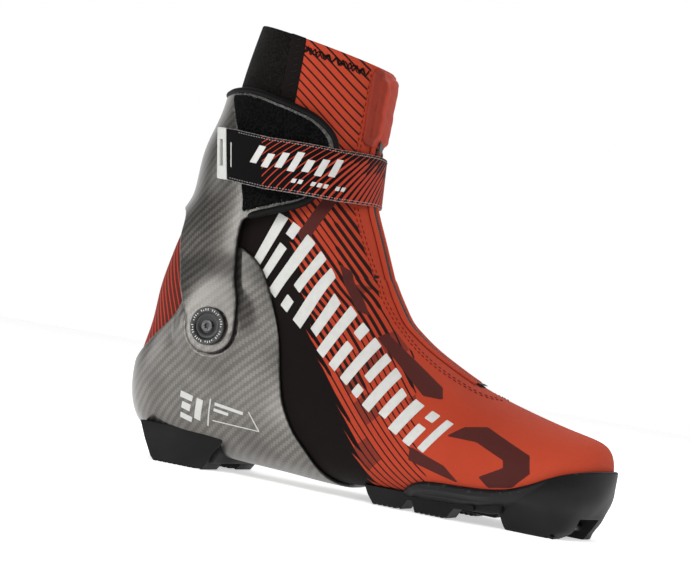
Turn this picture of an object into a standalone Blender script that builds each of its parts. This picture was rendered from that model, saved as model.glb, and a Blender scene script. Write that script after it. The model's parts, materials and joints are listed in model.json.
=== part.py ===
"""Skate-style cross country ski boot for the right foot, built as an assembly of separate pieces.

The boot stands on its lugs on the ground plane, toe towards +X and inner (medial) side towards +Y,
with the origin on the ground in the middle of its outline.
Shoe shapes are drawn in millimetres from a datum just behind the heel and from the ground; at()
turns them into metres in the boot's frame.
"""
import math

import bmesh
import bpy
from mathutils import Matrix, Vector

MM = 0.001

# Driving dimensions, in millimetres
OUTLINE_MIDDLE = 158.0
SHELL_WALL = 2.4
CONTACT_GAP = 0.3
CUP_WALL = 2.0
CUFF_STANDOFF = 4.4
CUFF_WALL = 2.0
RAND_WALL = 2.5
PATCH_WALL = 1.1
HOOK_WALL = 0.9
STRAP_WALL = 1.5
SECTION_POINTS = 32
ROUND_STEPS = 24

PIVOT = (74.0, 83.0)
CUP_BOSS_RADIUS = 17.5
ARM_END_RADIUS = 15.0
BOSS_FACE = 47.4
ARM_FACE = 50.2
BUSHING_RADIUS = 5.0
SCREW_RADIUS = 2.0

STRAP_TOP = 195.5
STRAP_BOTTOM = 166.0
STRAP_HINGE_X = 141.5
STRAP_CENTRE = 87.0
STRAP_REACH_BACK = 58.0
STRAP_LATERAL = (51.4, 2.2)
STRAP_MEDIAL = (50.0, 2.0)

SLIDER_START = (140.0, 235.0)

TOE_BAR = (290.0, 6.6)
TOE_BAR_RADIUS = 2.0
TOE_SLOT_HALF = 12.0
GROOVE_INNER = 4.5
GROOVE_OUTER = 16.0

# Fan of cross sections through the soft upper, from the toe's tip to the collar's rim.
# Each is: bottom x, bottom z, top x, top z, middle y, half width, height share of the widest line,
# fullness below it and fullness above it (2 is an ellipse, more is squarer).
SECTIONS = (
    (304.0, 26.5, 305.2, 39.0, 8.0, 5.0, 0.50, 2.0, 2.0),
    (300.5, 21.0, 302.3, 49.5, 7.5, 18.0, 0.48, 2.2, 2.0),
    (293.5, 18.2, 295.0, 55.3, 7.0, 29.5, 0.45, 2.4, 2.0),
    (278.0, 15.6, 278.5, 59.0, 5.5, 40.0, 0.40, 2.6, 2.0),
    (256.0, 12.4, 254.5, 65.0, 3.0, 46.5, 0.36, 2.8, 2.0),
    (229.0, 9.5, 229.1, 73.0, 0.5, 48.8, 0.34, 3.0, 2.0),
    (203.0, 9.0, 210.5, 81.5, -1.5, 47.5, 0.33, 3.0, 2.0),
    (178.0, 8.0, 195.5, 89.6, -2.5, 44.0, 0.33, 3.0, 2.0),
    (152.0, 7.3, 184.5, 97.0, -2.5, 40.5, 0.34, 3.0, 2.0),
    (122.0, 8.6, 176.5, 103.6, -2.0, 38.0, 0.36, 2.9, 2.0),
    (92.0, 9.6, 170.6, 110.8, -1.0, 37.5, 0.38, 2.8, 2.1),
    (64.0, 10.8, 167.6, 114.8, -0.5, 38.0, 0.40, 2.7, 2.2),
    (41.0, 11.6, 165.6, 117.4, 0.0, 39.0, 0.41, 2.6, 2.3),
    (21.5, 18.5, 164.3, 119.3, 0.0, 40.0, 0.42, 2.4, 2.4),
    (11.6, 34.0, 163.3, 120.8, 0.0, 41.2, 0.43, 2.3, 2.5),
    (10.4, 56.0, 162.4, 122.2, 0.0, 42.4, 0.43, 2.2, 2.6),
    (14.2, 78.0, 161.4, 123.8, 0.0, 42.8, 0.43, 2.1, 2.6),
    (15.8, 99.0, 160.3, 125.5, 0.0, 42.4, 0.44, 2.1, 2.5),
    (19.5, 119.5, 158.8, 128.2, 0.0, 41.4, 0.45, 2.1, 2.3),
    (26.3, 141.0, 149.9, 148.0, 0.0, 40.4, 0.46, 2.1, 2.2),
    (35.2, 158.0, 141.7, 166.5, 0.0, 40.4, 0.47, 2.1, 2.1),
    (38.0, 183.0, 138.2, 183.0, 0.0, 41.2, 0.48, 2.1, 2.1),
    (45.2, 206.0, 137.2, 202.5, 0.0, 41.4, 0.50, 2.1, 2.1),
    (49.5, 233.0, 137.3, 226.0, 0.0, 40.0, 0.52, 2.1, 2.1),
    (55.8, 265.4, 137.8, 246.6, 0.0, 38.0, 0.52, 2.1, 2.1),
)
ANKLE_START = 17
ANKLE_END = 20

CUP_OUTLINE = (
    (-20, 51), (5, 51), (14, 56), (22.5, 63.5), (32, 72.5), (40.5, 80.5), (46.5, 88), (50, 95.5), (52, 103),
    (57, 121), (66, 129.5), (80.5, 130.5), (87, 128.5), (95, 123), (102, 114), (107.5, 103.5), (111.5, 92.5),
    (115, 79), (119.5, 59.5), (124, 46), (132.5, 33), (142.5, 23.3), (155, 11.5), (170, 4), (170, -10),
    (-20, -10),
)
CUFF_OUTLINE = (
    (0, 147.5), (39, 145.5), (41.5, 130), (47, 112.5), (55, 95.5), (62, 82), (69, 76.5), (79, 76.5),
    (85.5, 81), (89.6, 89), (88.5, 100.5), (85, 111.5), (82, 128.5), (82, 142.5), (84.5, 147.5), (98, 153),
    (114, 159.5), (120, 168), (124, 181.5), (124.7, 193), (122.5, 202), (114.5, 210.5), (104, 214.5),
    (91, 217.7), (77.5, 220.9), (63, 221.2), (54, 220), (40, 220.5), (0, 222),
)
PADDING_OUTLINE = (
    (0, 151), (44, 152), (60, 154), (88, 152), (98, 155.5), (112.5, 161.5), (118, 169.5), (121.8, 182),
    (122.4, 192.5), (120.5, 200.3), (113.5, 208.3), (103, 212.2), (90, 215.4), (77, 218.5), (63, 218.8),
    (40, 218.2), (0, 219.5),
)
LOOP_OUTLINE = (
    (62, 215), (89.5, 209.5), (111, 203.8), (118.5, 200.5), (120.2, 195), (118.5, 182), (107.5, 164.5),
    (87, 154.5), (82.5, 152.5), (78, 167), (70.5, 196.7),
)
RAND_OUTLINE = (
    (172, -10), (172, 8), (186, 9), (196, 10), (202.5, 13), (210.5, 17.1), (216, 19.3), (227.5, 20.2),
    (252, 21.4), (262.2, 23.3), (272, 27.2), (281, 32), (288, 35.5), (296.2, 38.3), (330, 41), (330, -10),
)


def at(x, z, y=0.0):
    """A point in metres from millimetres along the boot, above the ground and from the centre plane."""
    return Vector(((x - OUTLINE_MIDDLE) * MM, y * MM, z * MM))


def clear_scene():
    for item in list(bpy.data.objects):
        bpy.data.objects.remove(item, do_unlink=True)


def collection(name):
    made = bpy.data.collections.new(name)
    bpy.context.scene.collection.children.link(made)
    return made


clear_scene()
BOOT = collection("cross_country_boot")
CUTTERS = collection("cutters")


def material(name, color, roughness, metallic=0.0):
    made = bpy.data.materials.new(name)
    made.use_nodes = True
    shader = made.node_tree.nodes["Principled BSDF"]
    shader.inputs["Base Color"].default_value = (*color, 1.0)
    shader.inputs["Roughness"].default_value = roughness
    shader.inputs["Metallic"].default_value = metallic
    return made


RED_FABRIC = material("red_fabric", (0.42, 0.075, 0.045), 0.75)
BLACK_FABRIC = material("black_fabric", (0.02, 0.017, 0.016), 0.85)
CARBON = material("carbon", (0.11, 0.108, 0.1), 0.38)
RUBBER = material("rubber", (0.022, 0.022, 0.023), 0.6)
FOAM = material("foam", (0.03, 0.03, 0.032), 0.9)
FELT = material("felt", (0.01, 0.01, 0.01), 1.0)
BOARD = material("board", (0.30, 0.27, 0.22), 0.8)
STEEL = material("steel", (0.32, 0.32, 0.33), 0.35, 1.0)
GLOSS_BLACK = material("gloss_black", (0.015, 0.015, 0.016), 0.25)
RED_GLOSS = material("red_gloss", (0.42, 0.07, 0.05), 0.4)
WHITE_PRINT = material("white_print", (0.7, 0.7, 0.68), 0.6)


def new_object(name, mesh, finish=None, home=BOOT):
    made = bpy.data.objects.new(name, mesh)
    home.objects.link(made)
    if finish:
        mesh.materials.append(finish)
    if home is CUTTERS:
        made.hide_render = True
        made.display_type = "WIRE"
    return made


def object_from_bmesh(name, shape, finish=None, home=BOOT):
    bmesh.ops.recalc_face_normals(shape, faces=shape.faces)
    mesh = bpy.data.meshes.new(name)
    shape.to_mesh(mesh)
    shape.free()
    return new_object(name, mesh, finish, home)


def boolean(target, tool, operation):
    step = target.modifiers.new(f"{operation.lower()}_{tool.name}", "BOOLEAN")
    step.operation = operation
    step.solver = "EXACT"
    step.object = tool


def solidify(target, thickness):
    """Thickens an open surface inwards by that many millimetres."""
    wall = target.modifiers.new("wall", "SOLIDIFY")
    wall.thickness = thickness * MM
    wall.offset = -1.0
    wall.use_even_offset = True


def bevel(target, width, segments=1):
    edge = target.modifiers.new("edge", "BEVEL")
    edge.width = width * MM
    edge.segments = segments
    edge.limit_method = "ANGLE"


# The soft upper's surface

def section_point(section, turn):
    """A point of one cross section; turn 0 is its top, a quarter turn its lateral side."""
    bottom_x, bottom_z, top_x, top_z, middle, half, widest, fullness_low, fullness_high = section
    up = math.cos(turn * 2 * math.pi)
    out = math.sin(turn * 2 * math.pi)
    fullness = fullness_high if up > 0 else fullness_low
    rise = math.copysign(abs(up) ** (2 / fullness), up)
    side = math.copysign(abs(out) ** (2 / fullness), out)
    share = widest + rise * ((1 - widest) if up > 0 else widest)
    x = bottom_x + (top_x - bottom_x) * share
    z = bottom_z + (top_z - bottom_z) * share
    return at(x, z, middle - side * half)


def upper_bmesh():
    """The whole upper as rings of vertices, closed at the toe and at the collar."""
    shape = bmesh.new()
    rings = []
    for section in SECTIONS:
        turns = [i / SECTION_POINTS for i in range(SECTION_POINTS)]
        rings.append([shape.verts.new(section_point(section, turn)) for turn in turns])
    for first, second in zip(rings, rings[1:]):
        for i in range(SECTION_POINTS):
            j = (i + 1) % SECTION_POINTS
            shape.faces.new((first[i], first[j], second[j], second[i]))
    shape.faces.new(rings[0])
    shape.faces.new(reversed(rings[-1]))
    bmesh.ops.recalc_face_normals(shape, faces=shape.faces)
    shape.normal_update()
    return shape, rings


def upper_grid(offset):
    """Vertex places of the upper pushed out by offset millimetres, as rows of rings."""
    shape, rings = upper_bmesh()
    places = [[vert.co + vert.normal * offset * MM for vert in ring] for ring in rings]
    shape.free()
    return places


def upper_solid(name, offset, home=CUTTERS, finish=None):
    """The closed form of the upper, larger by offset millimetres all round."""
    shape, rings = upper_bmesh()
    moves = [(vert, vert.co + vert.normal * offset * MM) for ring in rings for vert in ring]
    for vert, place in moves:
        vert.co = place
    return object_from_bmesh(name, shape, finish, home)


def wall_side(shape, rows, picked, offset, ends):
    """One face of a wall: the rows and columns of the upper's surface at that offset."""
    places = upper_grid(offset)[rows[0]:rows[1] + 1]
    first = [a.lerp(b, ends[0]) for a, b in zip(places[0], places[1])]
    last = [a.lerp(b, ends[1]) for a, b in zip(places[-1], places[-2])]
    places = [first, *places[1:-1], last]
    return [[shape.verts.new(row[i % SECTION_POINTS]) for i in picked] for row in places]


def upper_patch(name, rows, columns, offset, thickness, finish, ends=(0.0, 0.0)):
    """Part of the upper's surface as a wall: rows along the boot, columns round it from the top.

    ends pulls the first and last row inwards by that share of a row, to leave room for a neighbour.
    """
    closed = columns is None
    picked = range(SECTION_POINTS) if closed else range(columns[0], columns[1] + 1)
    shape = bmesh.new()
    outer, inner = (wall_side(shape, rows, picked, depth, ends) for depth in (offset, offset - thickness))
    steps = len(picked) if closed else len(picked) - 1
    for k in range(len(outer) - 1):
        for i in range(steps):
            j = (i + 1) % len(picked)
            shape.faces.new((outer[k][i], outer[k + 1][i], outer[k + 1][j], outer[k][j]))
            shape.faces.new((inner[k][j], inner[k + 1][j], inner[k + 1][i], inner[k][i]))
    toe_closed = closed and rows[0] == 0
    for k, row_closed in ((0, toe_closed), (-1, False)):
        if row_closed:
            shape.faces.new(outer[k])
            shape.faces.new(reversed(inner[k]))
            continue
        for i in range(steps):
            j = (i + 1) % len(picked)
            shape.faces.new((outer[k][j], inner[k][j], inner[k][i], outer[k][i]))
    if not closed:
        for k in range(len(outer) - 1):
            for i in (0, -1):
                shape.faces.new((outer[k][i], outer[k + 1][i], inner[k + 1][i], inner[k][i]))
    return object_from_bmesh(name, shape, finish)


# Simple shapes

def plate(name, outline, low, high, home=CUTTERS, finish=None):
    """A flat outline in the x-z plane, extruded from y = low to y = high millimetres."""
    shape = bmesh.new()
    corners = [shape.verts.new(at(x, z, low)) for x, z in outline]
    face = shape.faces.new(corners)
    sweep = bmesh.ops.extrude_face_region(shape, geom=[face])
    moved = [item for item in sweep["geom"] if isinstance(item, bmesh.types.BMVert)]
    bmesh.ops.translate(shape, verts=moved, vec=Vector((0, (high - low) * MM, 0)))
    return object_from_bmesh(name, shape, finish, home)


def block(name, low, high, home=BOOT, finish=None):
    """A box between two corners given as x, y, z in millimetres."""
    shape = bmesh.new()
    bmesh.ops.create_cube(shape, size=1.0)
    made = object_from_bmesh(name, shape, finish, home)
    corner_a = at(low[0], low[2], low[1])
    corner_b = at(high[0], high[2], high[1])
    for vert in made.data.vertices:
        vert.co = Vector([c * (b - a) for c, a, b in zip(vert.co, corner_a, corner_b)])
    made.location = (corner_a + corner_b) / 2
    return made


def cross_rod(name, centre, radius, low, high, home=CUTTERS, finish=None):
    """A round rod along y through centre (x, z), from y = low to y = high millimetres."""
    shape = bmesh.new()
    bmesh.ops.create_cone(
        shape, cap_ends=True, segments=ROUND_STEPS, radius1=radius * MM, radius2=radius * MM,
        depth=(high - low) * MM,
    )
    made = object_from_bmesh(name, shape, finish, home)
    made.location = at(centre[0], centre[1], (low + high) / 2)
    made.rotation_euler = (math.pi / 2, 0, 0)
    return made


def turned(name, profile, side, finish, closed):
    """A turned piece on the ankle pivot's axis; profile is (radius, distance from the centre plane)."""
    shape = bmesh.new()
    points = [shape.verts.new((radius * MM, 0, height * MM)) for radius, height in profile]
    for first, second in zip(points, points[1:]):
        shape.edges.new((first, second))
    if closed:
        shape.edges.new((points[-1], points[0]))
    mesh = bpy.data.meshes.new(name)
    shape.to_mesh(mesh)
    shape.free()
    made = new_object(name, mesh, finish)
    spin = made.modifiers.new("turn", "SCREW")
    spin.steps = ROUND_STEPS
    spin.render_steps = ROUND_STEPS
    spin.use_merge_vertices = True
    spin.merge_threshold = 0.00001
    made.location = at(*PIVOT)
    made.rotation_euler = (side * math.pi / 2, 0, 0)
    return made


# Soft upper and what is inside it

def make_upper():
    upper_patch("upper_foot", (0, ANKLE_START), None, 0.0, SHELL_WALL, RED_FABRIC)
    upper_patch("upper_ankle", (ANKLE_START, ANKLE_END), None, 0.0, SHELL_WALL, RED_FABRIC, (0.12, 0.12))
    upper_patch("collar", (ANKLE_END, len(SECTIONS) - 1), None, 0.0, SHELL_WALL, BLACK_FABRIC)


def make_inner_pieces():
    bottom = SECTION_POINTS // 2
    depth = SHELL_WALL + CONTACT_GAP
    board = 1.5
    upper_patch("lasting_board", (2, 12), (bottom - 5, bottom + 5), -depth, board, BOARD)
    depth += board + CONTACT_GAP
    upper_patch("insole", (2, 12), (bottom - 4, bottom + 4), -depth, 3.0, FOAM)
    side = SECTION_POINTS // 4
    depth = SHELL_WALL + CONTACT_GAP
    upper_patch("toe_puff", (1, 3), (-side + 1, side - 1), -depth, 1.0, BOARD)
    upper_patch("ankle_foam_lateral", (15, 17), (side - 2, side + 3), -depth, 3.0, FOAM, (0.2, 0.05))
    upper_patch("ankle_foam_medial", (15, 17), (-side - 3, -side + 2), -depth, 3.0, FOAM, (0.2, 0.05))
    upper_patch("tongue", (6, 23), (-3, 3), -depth - 0.9, 2.0, FOAM)


# Carbon chassis and cuff

def make_heel_cup():
    cup = upper_solid("heel_cup", CONTACT_GAP + CUP_WALL, BOOT, CARBON)
    boolean(cup, plate("cup_outline", CUP_OUTLINE, -70, 70), "INTERSECT")
    for side, name in ((-1, "lateral"), (1, "medial")):
        reach = sorted((side * 30, side * BOSS_FACE))
        boolean(cup, cross_rod(f"cup_boss_{name}", PIVOT, CUP_BOSS_RADIUS, *reach), "UNION")
    boolean(cup, upper_solid("upper_space", CONTACT_GAP), "DIFFERENCE")
    for side, name in ((-1, "lateral"), (1, "medial")):
        bore = sorted((side * 30, side * 60))
        boolean(cup, cross_rod(f"cup_bore_{name}", PIVOT, SCREW_RADIUS + 1.3, *bore), "DIFFERENCE")
        seat = sorted((side * 30, side * (BOSS_FACE - 1.5)))
        boolean(cup, cross_rod(f"nut_seat_{name}", PIVOT, 6.3, *seat), "DIFFERENCE")


def make_cuff():
    inner = CUFF_STANDOFF
    cuff = upper_solid("cuff", inner + CUFF_WALL, BOOT, CARBON)
    boolean(cuff, plate("cuff_outline", CUFF_OUTLINE, -70, 70), "INTERSECT")
    for side, name in ((-1, "lateral"), (1, "medial")):
        reach = sorted((side * 42, side * ARM_FACE))
        boolean(cuff, cross_rod(f"arm_end_{name}", PIVOT, ARM_END_RADIUS, *reach), "UNION")
    boolean(cuff, upper_solid("cuff_space", inner), "DIFFERENCE")
    for side, name in ((-1, "lateral"), (1, "medial")):
        room = sorted((side * 30, side * (BOSS_FACE + CONTACT_GAP)))
        clearance = CUP_BOSS_RADIUS + 0.6
        boolean(cuff, cross_rod(f"boss_room_{name}", PIVOT, clearance, *room), "DIFFERENCE")
        bore = sorted((side * 30, side * 60))
        hole = BUSHING_RADIUS + CONTACT_GAP
        boolean(cuff, cross_rod(f"arm_bore_{name}", PIVOT, hole, *bore), "DIFFERENCE")
    padding = upper_solid("cuff_padding", inner - CONTACT_GAP, BOOT, FOAM)
    boolean(padding, plate("padding_outline", PADDING_OUTLINE, -70, 70), "INTERSECT")
    boolean(padding, upper_solid("padding_space", CONTACT_GAP), "DIFFERENCE")
    inner += CUFF_WALL + CONTACT_GAP
    loop = upper_solid("loop_patch", inner + PATCH_WALL, BOOT, FELT)
    boolean(loop, plate("loop_outline", LOOP_OUTLINE, -70, -5), "INTERSECT")
    boolean(loop, upper_solid("loop_space", inner), "DIFFERENCE")


def make_pivots():
    for side, name in ((1, "lateral"), (-1, "medial")):
        nut_top = BOSS_FACE - 0.6
        nut_face = BOSS_FACE - 2.7
        bore = SCREW_RADIUS + CONTACT_GAP
        turned(
            f"pivot_nut_{name}",
            ((bore, nut_face), (bore, nut_top), (3.0, nut_top), (3.0, nut_face + 0.9), (6.0, nut_face + 0.9),
             (6.0, nut_face)),
            side, STEEL, True,
        )
        low, high = BOSS_FACE + CONTACT_GAP, ARM_FACE + 0.3
        turned(
            f"pivot_bushing_{name}",
            ((bore, low), (bore, high), (BUSHING_RADIUS, high), (BUSHING_RADIUS, low)),
            side, GLOSS_BLACK, True,
        )
        low = high + CONTACT_GAP
        turned(
            f"pivot_washer_{name}",
            ((bore, low), (bore, low + 0.6), (6.8, low + 0.6), (7.6, low + 1.4), (10.2, low + 1.4),
             (11.0, low + 0.9), (11.0, low)),
            side, GLOSS_BLACK, True,
        )
        head = low + 0.6 + CONTACT_GAP
        turned(
            f"pivot_screw_{name}",
            ((0, head + 1.2), (2.9, head + 1.2), (3.7, head + 0.6), (3.7, head), (SCREW_RADIUS, head),
             (SCREW_RADIUS, nut_face + 0.5), (0, nut_face + 0.5)),
            side, STEEL, False,
        )


# Sole

def make_forefoot_outsole():
    sole = upper_solid("forefoot_outsole", CONTACT_GAP + RAND_WALL, BOOT, RUBBER)
    boolean(sole, plate("rand_outline", RAND_OUTLINE, -70, 70), "INTERSECT")
    slab = ((174, 9.5), (174, 5.2), (230, 5.4), (252, 7.4), (262, 9.0), (262, 20), (230, 14))
    boolean(sole, plate("sole_slab", slab, -30, 30), "UNION")
    toe = ((253, 6.0), (261.5, 0), (289.5, 0), (297, 14.5), (301, 20), (298, 32), (253, 26))
    boolean(sole, plate("toe_block", toe, -24, 27), "UNION")
    rib = ((178, 8), (181, 3.6), (247, 3.6), (250, 9))
    boolean(sole, plate("centre_rib", rib, -GROOVE_INNER, GROOVE_INNER), "UNION")
    boolean(sole, upper_solid("forefoot_space", CONTACT_GAP), "DIFFERENCE")
    slot = ((256, -5), (256, 9.2), (283, 11), (296, 12.5), (312, 12.5), (312, -5))
    boolean(sole, plate("toe_slot", slot, -TOE_SLOT_HALF, TOE_SLOT_HALF), "DIFFERENCE")
    boolean(sole, cross_rod("bar_seat", TOE_BAR, TOE_BAR_RADIUS + CONTACT_GAP, -17, 17), "DIFFERENCE")
    reach = TOE_SLOT_HALF + 4.5
    cross_rod("toe_bar", TOE_BAR, TOE_BAR_RADIUS, -reach, reach, BOOT, STEEL)


def make_tread_pads():
    """Two lugs on a thin strip on each side of the forefoot, under the outsole's slab."""
    pad = (
        (179, 4.9), (182.5, 4.2), (185.7, 1.0), (201, 1.0), (203.5, 3.8), (207.5, 3.8), (210.4, 0.5),
        (227.4, 0.5), (231, 4.2), (243, 4.6), (243, 6.0), (230, 5.1),
    )
    for low, high, name in ((-33, -GROOVE_OUTER, "lateral"), (GROOVE_OUTER, 33, "medial")):
        plate(f"tread_pad_{name}", pad, low, high, BOOT, RUBBER)


def make_heel_outsole():
    base = ((36, 14), (41, 5.0), (80, 4.2), (84, 12))
    heel = plate("heel_outsole", base, -30, 30, BOOT, RUBBER)
    lug = ((30.5, 22), (36, 12), (43.8, 0), (75.2, 0), (80, 10), (85.5, 18))
    for low, high, name in ((-33, -12.5, "lateral"), (12.5, 33, "medial")):
        boolean(heel, plate(f"heel_lug_{name}", lug, low, high), "UNION")
    boolean(heel, upper_solid("cup_space", CONTACT_GAP + CUP_WALL + CONTACT_GAP), "DIFFERENCE")


# Zip, strap and their fittings

def ridge(offset):
    """The upper's front ridge pushed out by offset millimetres, one point for each section."""
    return [row[0] for row in upper_grid(offset)]


def make_zip():
    inner, outer = ridge(CONTACT_GAP), ridge(CONTACT_GAP + 1.4)
    half = Vector((0, 3.0 * MM, 0))
    shape = bmesh.new()
    loops = []
    for low, high in list(zip(inner, outer))[5:-1]:
        loops.append([shape.verts.new(p) for p in (low - half, low + half, high + half, high - half)])
    for first, second in zip(loops, loops[1:]):
        for i in range(4):
            j = (i + 1) % 4
            shape.faces.new((first[i], first[j], second[j], second[i]))
    shape.faces.new(loops[0])
    shape.faces.new(loops[-1])
    object_from_bmesh("zip_coil", shape, BLACK_FABRIC)

    garage = block("zip_garage", (126, -12.5, 201.5), (143.4, 12.5, 246.6), finish=RED_GLOSS)
    bevel(garage, 4.0, 2)
    boolean(garage, upper_solid("garage_seat", CONTACT_GAP), "DIFFERENCE")
    boolean(garage, block("slider_room", (118, -5.6, 190), (141.1, 5.6, 241.5), CUTTERS), "DIFFERENCE")

    slider = block("zip_slider", (139.3, -4.6, 230.5), (140.7, 4.6, 240), finish=GLOSS_BLACK)
    boolean(slider, block("pull_stem", (139.5, -1.8, 219.5), (140.5, 1.8, 231.5), CUTTERS), "UNION")


def strap_point(angle, height, offset):
    """A point of the strap's inner face; angle 0 is the front and a quarter turn the lateral side."""
    forward, sideways = math.cos(angle), math.sin(angle)
    lean = (STRAP_TOP - height) / (STRAP_TOP - STRAP_BOTTOM)
    front = 139.9 + 1.6 * lean
    depth = (front - STRAP_CENTRE) if forward > 0 else STRAP_REACH_BACK
    width, fullness = STRAP_LATERAL if sideways > 0 else STRAP_MEDIAL
    x = STRAP_CENTRE + math.copysign(abs(forward) ** (2 / fullness), forward) * (depth + offset)
    y = -math.copysign(abs(sideways) ** (2 / fullness), sideways) * (width + offset)
    return at(x, height, y)


def strap_band(name, start, end, offset, thickness, finish, low=STRAP_BOTTOM, high=STRAP_TOP, steps=12):
    """A stretch of strap between two angles in degrees, as a wall with its outer face at the offset."""
    shape = bmesh.new()
    columns = []
    for i in range(steps + 1):
        angle = math.radians(start + (end - start) * i / steps)
        columns.append([shape.verts.new(strap_point(angle, z, offset + thickness)) for z in (low, high)])
    for first, second in zip(columns, columns[1:]):
        shape.faces.new((first[0], first[1], second[1], second[0]))
    mesh = bpy.data.meshes.new(name)
    shape.to_mesh(mesh)
    shape.free()
    made = new_object(name, mesh, finish)
    solidify(made, thickness)
    return made


def make_strap():
    strap_band("strap_flap", 5, 106, 0.0, STRAP_WALL, BLACK_FABRIC, steps=14)
    strap_band("strap_base", -4.5, -104, 0.0, STRAP_WALL, BLACK_FABRIC, steps=14)
    lift = CONTACT_GAP + HOOK_WALL
    strap_band("hook_patch", 72, 104, -lift, HOOK_WALL, FELT, STRAP_BOTTOM + 3, STRAP_TOP - 3, 6)
    tab = strap_band("strap_pull_tab", 106.6, 117, 0.0, STRAP_WALL, WHITE_PRINT, steps=3)
    centre = strap_point(math.radians(112.3), (STRAP_TOP + STRAP_BOTTOM) / 2, 0)
    middle = (centre.x / MM + OUTLINE_MIDDLE, centre.z / MM)
    window = block(
        "tab_window",
        (middle[0] - 0.8, -60, middle[1] - 7.5),
        (middle[0] + 0.8, -40, middle[1] + 7.5),
        CUTTERS,
    )
    boolean(tab, window, "DIFFERENCE")


def set_origins(pivot, names):
    """Put the origins of moving pieces on their joint's axis, leaving the pieces where they are."""
    for name in names:
        moved = bpy.data.objects[name]
        moved.data.transform(Matrix.Translation(moved.location - pivot))
        moved.location = pivot


make_upper()
make_inner_pieces()
make_heel_cup()
make_cuff()
make_pivots()
make_forefoot_outsole()
make_tread_pads()
make_heel_outsole()
make_zip()
make_strap()

set_origins(at(*PIVOT), ("cuff", "cuff_padding", "loop_patch", "collar", "strap_base", "zip_garage"))
set_origins(at(STRAP_HINGE_X, STRAP_TOP), ("strap_flap", "hook_patch", "strap_pull_tab"))
set_origins(at(*SLIDER_START), ("zip_slider",))
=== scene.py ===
"""Skate-style cross country boot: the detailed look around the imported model.

Shoe shapes are drawn in millimetres from a datum behind the heel and from the ground; the cuff's
hinge, which the record states, ties that datum to the frame.
Every piece keeps its rest position in an attribute, so that a pattern stays on the cloth as it bends.
"""
import json
import math

import bmesh
import bpy
import numpy as np
from mathutils import Matrix, Vector
from mathutils.bvhtree import BVHTree


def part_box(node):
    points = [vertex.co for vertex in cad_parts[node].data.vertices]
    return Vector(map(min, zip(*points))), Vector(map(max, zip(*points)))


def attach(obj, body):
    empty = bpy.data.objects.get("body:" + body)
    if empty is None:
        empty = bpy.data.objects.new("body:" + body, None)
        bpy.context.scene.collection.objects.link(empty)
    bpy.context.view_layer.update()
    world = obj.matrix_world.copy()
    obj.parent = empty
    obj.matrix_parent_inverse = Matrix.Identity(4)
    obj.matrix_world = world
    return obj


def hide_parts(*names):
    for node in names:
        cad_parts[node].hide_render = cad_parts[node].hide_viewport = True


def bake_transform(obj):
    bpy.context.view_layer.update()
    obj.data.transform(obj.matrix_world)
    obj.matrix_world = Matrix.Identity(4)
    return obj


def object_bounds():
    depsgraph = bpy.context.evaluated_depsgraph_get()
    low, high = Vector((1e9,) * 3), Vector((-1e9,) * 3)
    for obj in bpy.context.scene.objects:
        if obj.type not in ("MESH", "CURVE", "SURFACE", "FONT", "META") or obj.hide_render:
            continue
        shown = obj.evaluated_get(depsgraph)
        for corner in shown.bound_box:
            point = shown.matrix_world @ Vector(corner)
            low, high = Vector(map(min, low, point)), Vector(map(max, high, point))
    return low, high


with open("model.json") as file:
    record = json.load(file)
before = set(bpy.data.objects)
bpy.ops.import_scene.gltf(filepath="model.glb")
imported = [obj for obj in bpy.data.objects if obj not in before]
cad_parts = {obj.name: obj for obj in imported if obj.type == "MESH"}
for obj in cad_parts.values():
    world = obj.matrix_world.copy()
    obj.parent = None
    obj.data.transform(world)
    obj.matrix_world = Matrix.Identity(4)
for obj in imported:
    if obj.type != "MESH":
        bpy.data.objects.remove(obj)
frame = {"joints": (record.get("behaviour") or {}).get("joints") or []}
CAD_LOW, CAD_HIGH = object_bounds()

MM = 0.001
TAU = 2 * math.pi
PIVOT = np.array((74.0, 83.0))
JOINTS = {joint["name"]: joint for joint in frame["joints"]}
HINGE = JOINTS["cuff_flex"]["pos_m"]
SHIFT = np.array((HINGE[0] / MM - PIVOT[0], HINGE[1] / MM, HINGE[2] / MM - PIVOT[1]))
GROUND = CAD_LOW.z

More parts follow.
